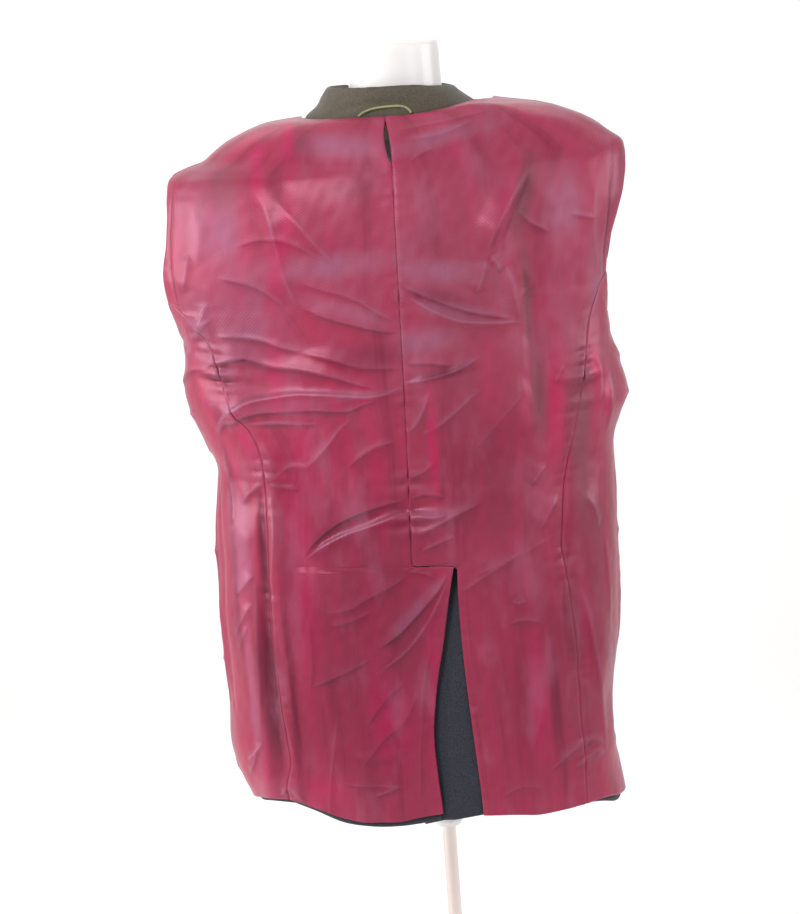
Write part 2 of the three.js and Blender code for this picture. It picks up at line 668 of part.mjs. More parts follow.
/** The collar: a stand that leans in, folded at the top, with its fall turned down inside. */
function collar() {
  const { wall: cloth, thickness, shortFall, stations } = COLLAR;
  const profile = (height) => [
    [0, 0], [height - 2.4, 0], [height - 0.6, 1.0], [height, thickness / 2],
    [height - 0.6, thickness - 1.0], [height - 2.4, thickness], [shortFall, thickness + 0.6],
    [shortFall, thickness + 0.6 - cloth], [height - 3.4, thickness - cloth],
    [height - cloth - 0.6, thickness / 2], [height - 3.4, cloth], [0, cloth],
  ];
  const points = [];
  for (let i = 0; i <= stations; i += 1) {
    const share = i / stations;
    const angle = radians(lerp(COLLAR.from, COLLAR.to, share));
    const base = collarRing(COLLAR_BASE, angle);
    const top = collarRing(COLLAR_TOP, angle);
    top.z -= COLLAR_END_DROP * Math.max(Math.sin(angle), 0) ** 2;
    const up = new THREE.Vector3().subVectors(top, base);
    const height = up.length();
    up.normalize();
    const inward = new THREE.Vector3(-base.x, -base.y, 0).normalize();
    inward.addScaledVector(up, -inward.dot(up)).normalize();
    profile(height).forEach(([rise, depth]) => {
      points.push(base.clone().addScaledVector(up, rise).addScaledVector(inward, depth));
    });
  }
  const count = profile(1).length;
  const faces = [];
  for (let i = 0; i < stations; i += 1) {
    for (let j = 0; j < count; j += 1) {
      const next = (j + 1) % count;
      faces.push(...quad(i * count + j, i * count + next, (i + 1) * count + next, (i + 1) * count + j));
    }
  }
  // Each end closes with a strip between the outer and the inner side of the folded cloth.
  const half = count / 2;
  for (let j = 0; j < half - 1; j += 1) {
    const other = count - 1 - j;
    const end = stations * count;
    faces.push(...quad(j, other, other - 1, j + 1));
    faces.push(...quad(end + j, end + j + 1, end + other - 1, end + other));
  }
  return closedGeometry(points, faces);
}

/** The braided hanger loop, as a plain round cord. */
function hangerLoop() {
  const path = new THREE.CatmullRomCurve3(LOOP_PATH.map(({ x, y, z }) => new THREE.Vector3(x, y, z)));
  const section = new THREE.Shape();
  for (let i = 0; i < LOOP.sides; i += 1) {
    const angle = (2 * Math.PI * i) / LOOP.sides;
    const place = [LOOP.radius * Math.cos(angle), LOOP.radius * Math.sin(angle)];
    if (i === 0) section.moveTo(...place);
    else section.lineTo(...place);
  }
  section.closePath();
  return new THREE.ExtrudeGeometry(section, { steps: LOOP.steps, extrudePath: path, curveSegments: 1 });
}

// ---------------------------------------------------------------------------------- form and stand
/** The smooth torso with its neck, closed at the top and the bottom. */
function dressForm() {
  const points = [];
  FORM.forEach(({ z, half, back, front, square }) => {
    for (let i = 0; i < FORM_SIDES; i += 1) {
      const angle = (2 * Math.PI * i) / FORM_SIDES;
      const sine = Math.sin(angle);
      const x = half * signedPower(Math.cos(angle), 2 / square);
      const y = (sine < 0 ? back : front) * signedPower(sine, 2 / square);
      points.push(new THREE.Vector3(x, y, z));
    }
  });
  const faces = [];
  const rings = FORM.length;
  for (let ring = 0; ring < rings - 1; ring += 1) {
    for (let i = 0; i < FORM_SIDES; i += 1) {
      const next = (i + 1) % FORM_SIDES;
      const low = ring * FORM_SIDES;
      const high = low + FORM_SIDES;
      faces.push(...quad(low + i, low + next, high + next, high + i));
    }
  }
  const bottom = points.push(new THREE.Vector3(0, 0, FORM[0].z)) - 1;
  const top = points.push(new THREE.Vector3(0, 0, FORM[rings - 1].z)) - 1;
  const lastRing = (rings - 1) * FORM_SIDES;
  for (let i = 0; i < FORM_SIDES; i += 1) {
    const next = (i + 1) % FORM_SIDES;
    faces.push([bottom, next, i], [top, lastRing + i, lastRing + next]);
  }
  return closedGeometry(points, faces);
}

/** A turned solid about the pole axis, from radii and heights that start and end on the axis. */
function turned(profile, sides) {
  const points = profile.map(([radius, z]) => new THREE.Vector2(radius, z));
  return new THREE.LatheGeometry(points, sides).rotateX(Math.PI / 2);
}

function basePlate() {
  const { radius, thickness, bevel } = BASE;
  return turned([[0, 0], [radius, 0], [radius, thickness - bevel], [radius - bevel, thickness],
    [0, thickness]], 48);
}

function baseBoss() {
  const { radius, height, bevel } = BOSS;
  const bottom = BASE.thickness + REST_GAP;
  const top = POLE.bottom - REST_GAP;
  return turned([[0, bottom], [radius, bottom], [radius, top - height / 2], [radius - bevel, top - bevel],
    [radius - 2 * bevel, top], [0, top]], 24);
}

function pole() {
  return turned([[0, POLE.bottom], [POLE.radius, POLE.bottom], [POLE.radius, POLE.top], [0, POLE.top]], 20);
}

/** The rounded fitting under the form that takes the pole. */
function formSocket() {
  const { bottom, top, radius, flange, flangeHeight, round } = SOCKET;
  return turned([[0, bottom], [radius - round, bottom], [radius - round * 0.3, bottom + round * 0.3],
    [radius, bottom + round], [radius, top - flangeHeight], [flange, top - flangeHeight / 2],
    [flange, top], [0, top]], 24);
}

// ---------------------------------------------------------------------------------- finishes
/** A finish as a colour, a roughness and a metalness. */
function finish(color, roughness, metalness = 0) {
  return new THREE.MeshStandardMaterial({ color, roughness, metalness, side: THREE.DoubleSide });
}

const FINISH = {
  lining: finish(0xa33a58, 0.42),
  wool: finish(0x30333b, 0.92),
  collar: finish(0x4d4a3b, 0.9),
  braid: finish(0xa9a36a, 0.7),
  form: finish(0xeceae6, 0.35),
  steel: finish(0xc9c0bb, 0.2, 1.0),
  base: finish(0xd8d5d0, 0.35, 0.6),
};

// ---------------------------------------------------------------------------------- assembly
const group = new THREE.Group();

function add(parent, name, geometry, material) {
  const mesh = new THREE.Mesh(geometry, material);
  mesh.name = name;
  parent.add(mesh);
}

function addStand(parent) {
  add(parent, 'base_plate', basePlate(), FINISH.base);
  add(parent, 'base_boss', baseBoss(), FINISH.base);
  add(parent, 'pole', pole(), FINISH.steel);
  add(parent, 'form_socket', formSocket(), FINISH.form);
  add(parent, 'dress_form', dressForm(), FINISH.form);
}

function addBlazer(parent) {
  [[LEFT, 'left', SLEEVE_LEFT], [RIGHT, 'right', SLEEVE_RIGHT]].forEach(([side, name, sleeveRows]) => {
    const lining = sidePanels(side, 'lining', DEPTH.lining, FINE);
    const shell = sidePanels(side, 'wool', DEPTH.shell, COARSE);
    const sleeves = sleeve(side, sleeveRows);
    add(parent, `lining_back_${name}`, lining.back, FINISH.lining);
    add(parent, `lining_side_${name}`, lining.side, FINISH.lining);
    add(parent, `lining_front_${name}`, lining.front, FINISH.lining);
    add(parent, `facing_${name}`, facing(side), FINISH.wool);
    add(parent, `lapel_${name}`, lapel(side), FINISH.wool);
    add(parent, `shell_back_${name}`, shell.back, FINISH.wool);
    add(parent, `shell_side_${name}`, shell.side, FINISH.wool);
    add(parent, `shell_front_${name}`, shell.front, FINISH.wool);
    add(parent, `sleeve_top_${name}`, sleeves.top, FINISH.wool);
    add(parent, `sleeve_under_${name}`, sleeves.under, FINISH.wool);
  });
  add(parent, 'vent_underlap', ventUnderlap(), FINISH.wool);
  add(parent, 'collar', collar(), FINISH.collar);
  add(parent, 'hanger_loop', hangerLoop(), FINISH.braid);
}

const stand = new THREE.Group();
const blazer = new THREE.Group();
addStand(stand);
addBlazer(blazer);
group.add(stand, blazer);

export default group;
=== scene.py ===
"""A man's blazer turned inside out, on a smooth dress form with a pole and a round base.

Metres, +Z up, floor at z = 0. -Y is the back of the blazer, -X its left. Tables of places on the
cloth are in millimetres, as in the part's own source, and are scaled once where they are read.
"""

from __future__ import annotations

import json
import logging
import math
from collections.abc import Callable, Sequence
from dataclasses import dataclass, field
from enum import Enum
from typing import Any

import bmesh
import bpy
import numpy as np
from mathutils import Matrix, Vector

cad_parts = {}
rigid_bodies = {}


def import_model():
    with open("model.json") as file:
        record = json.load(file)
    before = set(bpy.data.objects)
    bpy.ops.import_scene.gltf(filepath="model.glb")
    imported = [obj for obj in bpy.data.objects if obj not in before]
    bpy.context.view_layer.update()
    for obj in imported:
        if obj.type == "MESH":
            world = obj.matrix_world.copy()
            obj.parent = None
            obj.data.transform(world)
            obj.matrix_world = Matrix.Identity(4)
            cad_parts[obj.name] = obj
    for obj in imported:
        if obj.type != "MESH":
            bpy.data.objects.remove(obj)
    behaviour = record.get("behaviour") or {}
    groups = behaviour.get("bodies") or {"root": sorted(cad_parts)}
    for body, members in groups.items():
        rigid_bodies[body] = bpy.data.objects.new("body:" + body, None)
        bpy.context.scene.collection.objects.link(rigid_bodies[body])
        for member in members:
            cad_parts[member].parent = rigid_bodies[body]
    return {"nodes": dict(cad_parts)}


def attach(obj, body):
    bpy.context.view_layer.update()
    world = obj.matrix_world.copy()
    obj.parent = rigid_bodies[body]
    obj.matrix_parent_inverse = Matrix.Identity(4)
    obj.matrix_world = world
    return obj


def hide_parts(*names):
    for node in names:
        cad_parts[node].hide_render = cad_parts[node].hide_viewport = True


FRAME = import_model()
LOG = logging.getLogger("blazer")
Colour = tuple[float, float, float]

# Lengths are in millimetres here, unless the name says otherwise.
MM = 0.001
SAME_POINT = 0.05  # corners of a solid that lie nearer than this are one
STEP_SLOPE = 1.5  # an edge steps where it goes this much more sideways than up
STEP_BELOW = 1400.0  # and only below this height
CREST_SOFT = 0.6  # rounding of a sharp crest
CREASE_STEPS = 5  # straight steps to each span of a crease's line
CREASE_REACH = 4.0  # widths past which a crease isn't felt
CREASE_ENDS = 0.3  # share of its line over which a crease dies away at each end
END_FORM = 0.8  # below 1, a crease dies away late
END_WIDTH = 0.35  # share of its width that a crease keeps at its ends
PATCH_EDGE = 2.6  # how suddenly a patch of painted light and shade ends
LOW_LIMIT = 3.4  # grooves go no deeper
SEAM_WIDTH = 1.7  # half width of the dip at a sewn edge
SHOULDER_RISE = 8.0  # creases fade over this height above the shoulder seam's start
SHOULDER_EDGE = 9.0  # and this near to the panel's side edges
PUCKER_SHARES = (0.61, 0.83, 1.0, 1.37, 1.9, 2.7)  # wave lengths, as shares of the spacing
PUCKER_SWELL = 6.1  # spacings from one strong pull to the next
PUCKER_SHARE = 0.6  # of the waves' sum
PUCKER_START = 2.5  # how fast a pucker rises beside its seam
PUCKER_ENDS = 30.0  # length over which a row of puckers begins and ends
EDGE_CLEAR = 4.0  # bends this near a sewn edge get no painted highlight and shade
SMALL_SHEET = 60  # with this many rows or columns, both faces of a wall are alike
INNER_EVERY = 3  # otherwise the inner face has every third row and column
ANY_PHASE = 6.28  # a random phase lies between 0 and this
COPY_MERGE_METRES = 2e-5


class PaintedLightAndShade(Enum):
    """Colours of painted light and shade on the lining: mauve for painted sheen, pink for painted
    highlights, ash for painted shade with a faint painted sheen, deep for painted shade; each is a
    point attribute of its pieces.
    """

    MAUVE = "mauve"
    PINK = "pink"
    ASH = "ash"
    DEEP = "deep"


class Edge(Enum):
    """A panel's side edges, by its columns."""

    FIRST = "first"
    LAST = "last"


# Painted light and shade from the cloth's form: a slope that turns up gets painted mauve light and
# one that turns down painted deep shade; a crest gets a painted mauve highlight and a groove
# painted deep shade. Each gives how much it adds to that tone, and the most that it adds.
SLOPE_PAINTED_LIGHT_AND_SHADE = {PaintedLightAndShade.MAUVE: (1.5, 0.6), PaintedLightAndShade.DEEP: (-1.1, 0.6)}
BEND_PAINTED_HIGHLIGHT_AND_SHADE = {PaintedLightAndShade.MAUVE: (-1.1, 0.7), PaintedLightAndShade.DEEP: (1.1, 0.8)}


# ------------------------------------------------------------------------------------- shader maths
class Wire:
    """An output socket that can be added and multiplied like a number."""

    def __init__(self, shader: Shader, socket: bpy.types.NodeSocket) -> None:
        """Wraps one output socket of a material."""
        self.shader = shader
        self.socket = socket

    def __add__(self, other: Any) -> Wire:
        """Sum."""
        return self.shader.maths("ADD", self, other)

    def __radd__(self, other: Any) -> Wire:
        """Sum, reflected."""
        return self.shader.maths("ADD", other, self)

    def __mul__(self, other: Any) -> Wire:
        """Product."""
        return self.shader.maths("MULTIPLY", self, other)

    def __rmul__(self, other: Any) -> Wire:
        """Product, reflected."""
        return self.shader.maths("MULTIPLY", other, self)


class Shader:
    """The node tree of one material, with a Principled shader at its end."""

    def __init__(self, name: str) -> None:
        """Starts an empty material.

        Args:
            name: The material's name.
        """
        self.material = bpy.data.materials.new(name)
        self.material.use_nodes = True
        self.tree = self.material.node_tree
        self.tree.nodes.clear()
        self.output = self.tree.nodes.new("ShaderNodeOutputMaterial")
        self.surface = self.tree.nodes.new("ShaderNodeBsdfPrincipled")
        self.tree.links.new(self.surface.outputs[0], self.output.inputs["Surface"])

    def node(self, kind: str, settings: dict[str, Any], inputs: dict[str, Any]) -> bpy.types.Node:
        """Adds one node.

        Args:
            kind: The node's type without its "ShaderNode" prefix.
            settings: Attributes that are set first; "stops" fills a colour ramp.
            inputs: Values or wires by socket name, or by index for sockets that share a name.

        Returns:
            The node.
        """
        made = self.tree.nodes.new(f"ShaderNode{kind}")
        for key, value in settings.items():
            if key == "stops":
                self._stops(made.color_ramp, value)
            else:
                setattr(made, key, value)
        for key, value in inputs.items():
            self.feed(made.inputs[key], value)
        return made

    def _stops(self, ramp: bpy.types.ColorRamp, stops: Sequence[tuple[float, Any]]) -> None:
        """Sets the stops of a ramp.

        Args:
            ramp: The ramp.
            stops: Pairs of a place and a grey or a colour.
        """
        while len(ramp.elements) > 1:
            ramp.elements.remove(ramp.elements[-1])
        for i, (place, value) in enumerate(stops):
            element = ramp.elements[0] if i == 0 else ramp.elements.new(place)
            element.position = place
            grey = isinstance(value, (int, float))
            element.color = (value, value, value, 1) if grey else (*value, 1)

    def feed(self, socket: bpy.types.NodeSocket, value: Any) -> None:
        """Links a wire to a socket, or sets the socket's own value.

        Args:
            socket: The input socket.
            value: A wire, number, colour or vector.
        """
        if isinstance(value, Wire):
            self.tree.links.new(value.socket, socket)
        elif isinstance(value, tuple) and len(value) == 3 and socket.type == "RGBA":
            socket.default_value = (*value, 1)
        else:
            socket.default_value = value

    def wire(self, node: bpy.types.Node, output: str | int = 0) -> Wire:
        """The wire that leaves a node."""
        return Wire(self, node.outputs[output])

    def maths(self, operation: str, first: Any, second: Any = 0.0, clamp: bool = False) -> Wire:
        """One Math node."""
        settings = {"operation": operation, "use_clamp": clamp}
        return self.wire(self.node("Math", settings, {0: first, 1: second}))

    def blend(self, factor: Any, first: Any, second: Any) -> Wire:
        """One colour Mix node.

        Args:
            factor: Share of the second colour.
            first: A colour or wire.
            second: A colour or wire.

        Returns:
            The mixed colour.
        """
        mixed = self.node("Mix", {"data_type": "RGBA"}, {0: factor, 6: first, 7: second})
        return self.wire(mixed, 2)

    def place(self, scale: Sequence[float], turn: float = 0.0, source: str = "Object") -> Wire:
        """Coordinates on the piece, scaled and turned about their third axis.

        Args:
            scale: Pattern repeats for a metre, along each axis.
            turn: Angle in radians.
            source: The Texture Coordinate output that is read.

        Returns:
            The coordinates.
        """
        start = self.wire(self.node("TexCoord", {}, {}), source)
        inputs = {"Vector": start, "Scale": tuple(scale), "Rotation": (0.0, 0.0, turn)}
        return self.wire(self.node("Mapping", {}, inputs))

    def noise(self, where: Wire, detail: float = 2.0, rough: float = 0.5) -> Wire:
        """Soft noise from 0 to 1 at scaled coordinates."""
        inputs = {"Vector": where, "Scale": 1.0, "Detail": detail, "Roughness": rough}
        return self.wire(self.node("TexNoise", {}, inputs), "Fac")

    def ramp(self, value: Wire, stops: Sequence[tuple[float, Any]], way: str = "LINEAR") -> Wire:
        """A value looked up in a row of stops.

        Args:
            value: The value.
            stops: Pairs of a place and a grey or a colour.
            way: How the ramp runs between its stops.

        Returns:
            The colour or grey that was found.
        """
        made = self.node("ValToRGB", {"stops": stops}, {"Fac": value})
        made.color_ramp.interpolation = way
        return self.wire(made)

    def lines(self, where: Wire) -> Wire:
        """Even sine bands along the first axis, 3.2 of them in a unit of the coordinates.

        Args:
            where: Scaled coordinates.

        Returns:
            A height from 0 to 1.
        """
        settings = {"wave_type": "BANDS", "bands_direction": "X", "wave_profile": "SIN"}
        inputs = {"Vector": where, "Scale": 1.0, "Distortion": 0.0, "Detail": 0.0}
        return self.wire(self.node("TexWave", settings, inputs), "Fac")

    def attribute(self, name: str) -> Wire:
        """A number that the piece's points carry."""
        return self.wire(self.node("Attribute", {"attribute_name": name}, {}), "Fac")

    def bump(self, height: Wire, depth: float) -> Wire:
        """A normal from a height, of which 1 stands for a depth in metres."""
        inputs = {"Strength": 1.0, "Distance": depth, "Height": height}
        return self.wire(self.node("Bump", {}, inputs))

    def finish(self, **sockets: Any) -> bpy.types.Material:
        """Feeds the shader's sockets; an underscore stands for a space.

        Args:
            **sockets: Values or wires by socket name.

        Returns:
            The finished material.
        """
        for name, value in sockets.items():
            self.feed(self.surface.inputs[name.replace("_", " ")], value)
        return self.material


# ----------------------------------------------------------------------------------------- finishes
@dataclass(frozen=True)
class ShotTwill:
    """The lining: a shot twill, crimson one way and greyed mauve the other; its tone attributes
    paint sheen, highlights and shade on it in mauve, pink, ash and deep.
    """

    name: str = "lining_shot_twill"
    crimson: Colour = (0.365, 0.036, 0.080)
    # deep also darkens random streaks and the twill lines, mauve tints random clouds and pink
    # brightens random streaks. Where the tone attributes lay them on, deep is painted shade, mauve
    # painted sheen, pink painted highlight, and ash painted shade with a faint painted sheen.
    deep: Colour = (0.100, 0.006, 0.022)
    mauve: Colour = (0.37, 0.115, 0.195)
    pink: Colour = (0.54, 0.022, 0.106)
    ash: Colour = (0.215, 0.070, 0.088)
    streak_scale: float = 42.0
    twill_scale: float = 140.0
    twill_metres: float = 0.00006
    roughness: float = 0.30
    sheen: Colour = (0.78, 0.52, 0.66)
    gleam: Colour = (1.0, 0.48, 0.64)

    def material(self) -> bpy.types.Material:
        """Builds the finish.

        Returns:
            The material.
        """
        s = Shader(self.name)
        warp = s.place((self.streak_scale, 1.8, 1.0), source="UV")
        streaks = s.noise(warp, 3.0, 0.6)
        bright = s.ramp(streaks, [(0.50, 0.0), (0.66, 0.45)], "EASE")
        dark = s.ramp(streaks, [(0.32, 0.32), (0.47, 0.0)], "EASE")
        base = s.blend(dark, s.blend(bright, self.crimson, self.pink), self.deep)
        cloud = s.noise(s.place((26.0, 26.0, 10.0)), 3.0, 0.55)
        # Painted light and shade: each tone attribute lays its colour over the cloth where the
        # pieces carry painted sheen, highlights and shade.
        for tone in PaintedLightAndShade:
            share = s.attribute(tone.value)
            if tone in (PaintedLightAndShade.MAUVE, PaintedLightAndShade.PINK):
                uneven = (cloud if tone is PaintedLightAndShade.MAUVE else streaks) * 1.5 + 0.25
                share = s.maths("MULTIPLY", share, uneven, clamp=True)
            base = s.blend(share, base, getattr(self, tone.value))
        base = s.blend(s.ramp(cloud, [(0.5, 0.0), (0.75, 0.35)], "EASE"), base, self.mauve)
        scale = (self.twill_scale, self.twill_scale, 1.0)
        ribs = s.lines(s.place(scale, 0.9, "UV"))
        twill = ribs * (0.35 + 0.65 * s.lines(s.place(scale, -0.7, "UV")))
        seen = s.ramp(s.noise(s.place((15.0, 15.0, 15.0)), 2.0), [(0.42, 0.06), (0.62, 0.34)])
        base = s.blend(twill * seen, base, self.deep)
        rough = self.roughness + 0.10 * s.noise(s.place((90.0, 90.0, 30.0)), 2.0)
        return s.finish(
            Base_Color=base,
            Roughness=rough,
            Normal=s.bump(twill, self.twill_metres),
            Sheen_Weight=0.05,
            Sheen_Roughness=0.35,
            Sheen_Tint=(*self.sheen, 1),
            Specular_IOR_Level=0.5,
            Specular_Tint=(*self.gleam, 1),
            Anisotropic=0.4,
        )


@dataclass(frozen=True)
class WoolMelange:
    """Fine wool suiting in two greys, with a nap."""

    name: str
    dark: Colour
    light: Colour
    grain_scale: float = 900.0
    weave_scale: float = 620.0
    depth_metres: float = 0.00012

    def material(self) -> bpy.types.Material:
        """Builds the finish.

        Returns:
            The material.
        """
        s = Shader(self.name)
        grain = s.noise(s.place((self.grain_scale,) * 3), 3.0, 0.65)
        fleck = s.noise(s.place((self.grain_scale * 0.45,) * 3), 2.0, 0.5)
        cloud = s.noise(s.place((18.0, 18.0, 18.0)), 2.0, 0.5)
        tone = s.ramp(grain, [(0.36, 0.0), (0.64, 1.0)]) * 0.7 + 0.3 * fleck
        base = s.blend(tone, self.dark, self.light)
        base = s.blend(cloud * 0.25, base, self.dark)
        weave = s.lines(s.place((self.weave_scale, self.weave_scale, 1.0), 0.8, "UV"))
        return s.finish(
            Base_Color=base,
            Roughness=0.86 + 0.1 * cloud,
            Normal=s.bump(grain + weave * 0.5, self.depth_metres),
            Sheen_Weight=0.25,
            Sheen_Roughness=0.5,
            Sheen_Tint=(0.8, 0.8, 0.85, 1),
            Specular_IOR_Level=0.25,
        )


@dataclass(frozen=True)
class TwistedYarn:
    """The hanger loop's shiny yellow-green yarn."""

    name: str = "loop_yarn"
    light: Colour = (0.50, 0.52, 0.26)
    dark: Colour = (0.24, 0.25, 0.10)
    fibre_scale: float = 2600.0

    def material(self) -> bpy.types.Material:
        """Builds the finish.

        Returns:
            The material.
        """
        s = Shader(self.name)
        fibre = s.noise(s.place((self.fibre_scale,) * 3), 2.0, 0.6)
        base = s.blend(s.ramp(fibre, [(0.35, 0.0), (0.65, 1.0)]), self.dark, self.light)
        return s.finish(
            Base_Color=base, Roughness=0.55, Normal=s.bump(fibre, 0.0001), Sheen_Weight=0.3
        )


@dataclass(frozen=True)
class SmoothShell:
    """A moulded or painted shell, nearly even, with faint handling marks."""

    name: str
    colour: Colour
    shade: Colour
    roughness: float
    coat: float = 0.0
    metallic: float = 0.0

    def material(self) -> bpy.types.Material:
        """Builds the finish.

        Returns:
            The material.
        """
        s = Shader(self.name)
        cloud = s.noise(s.place((9.0, 9.0, 6.0)), 3.0, 0.6)
        marks = s.noise(s.place((70.0, 70.0, 18.0)), 4.0, 0.7)
        base = s.blend(s.ramp(cloud, [(0.35, 0.0), (0.75, 1.0)]), self.colour, self.shade)
        return s.finish(
            Base_Color=base,
            Roughness=self.roughness + 0.12 * marks,
            Metallic=self.metallic,
            Coat_Weight=self.coat,
            Coat_Roughness=0.12,
            Normal=s.bump(marks, 0.00003),
        )


class Finish(Enum):
    """The finishes of the blazer, the form and the stand."""

    LINING = ShotTwill()
    WOOL = WoolMelange("wool_charcoal", (0.012, 0.013, 0.020), (0.055, 0.055, 0.075))
    COLLAR = WoolMelange("wool_olive", (0.062, 0.051, 0.036), (0.150, 0.128, 0.096))
    BRAID = TwistedYarn()
    FORM = SmoothShell("form_shell", (0.93, 0.90, 0.89), (0.88, 0.85, 0.84), 0.30, 0.3)
    POLE = SmoothShell("pole_steel", (0.78, 0.68, 0.64), (0.70, 0.60, 0.56), 0.16, 0.0, 0.9)
    BASE = SmoothShell("base_satin", (0.62, 0.60, 0.57), (0.52, 0.50, 0.48), 0.32, 0.2, 0.6)

    @property
    def slot(self) -> str:
        """The record's material slot that has this finish."""
        return self.name.lower()

    def material(self) -> bpy.types.Material:
        """The finish's material, built where a piece first asks for it."""
        return bpy.data.materials.get(self.value.name) or self.value.material()


# --------------------------------------------------------------------------------- cloth, as a grid
def spline(points: np.ndarray, knots: np.ndarray, at: np.ndarray) -> np.ndarray:
    """Reads points along their first axis by a smooth cubic through them.

    Args:
        points: Values, the first axis one for each knot.
        knots: Rising places of the values.
        at: Places to read.

    Returns:
        The values at those places.
    """
    slopes = np.gradient(points, knots, axis=0)
    i = np.clip(np.searchsorted(knots, at, side="right") - 1, 0, len(knots) - 2)
    span = knots[i + 1] - knots[i]
    shape = (-1,) + (1,) * (points.ndim - 1)
    t = ((at - knots[i]) / span).reshape(shape)
    span = span.reshape(shape)
    return (
        (2 * t**3 - 3 * t**2 + 1) * points[i]
        + (t**3 - 2 * t**2 + t) * span * slopes[i]
        + (3 * t**2 - 2 * t**3) * points[i + 1]
        + (t**3 - t**2) * span * slopes[i + 1]
    )


def lengths(points: np.ndarray, axis: int) -> np.ndarray:
    """The mean length run along one axis of a grid of points, from 0."""
    steps = np.linalg.norm(np.diff(points, axis=axis), axis=2).mean(axis=1 - axis)
    return np.concatenate([[0.0], np.cumsum(steps)])


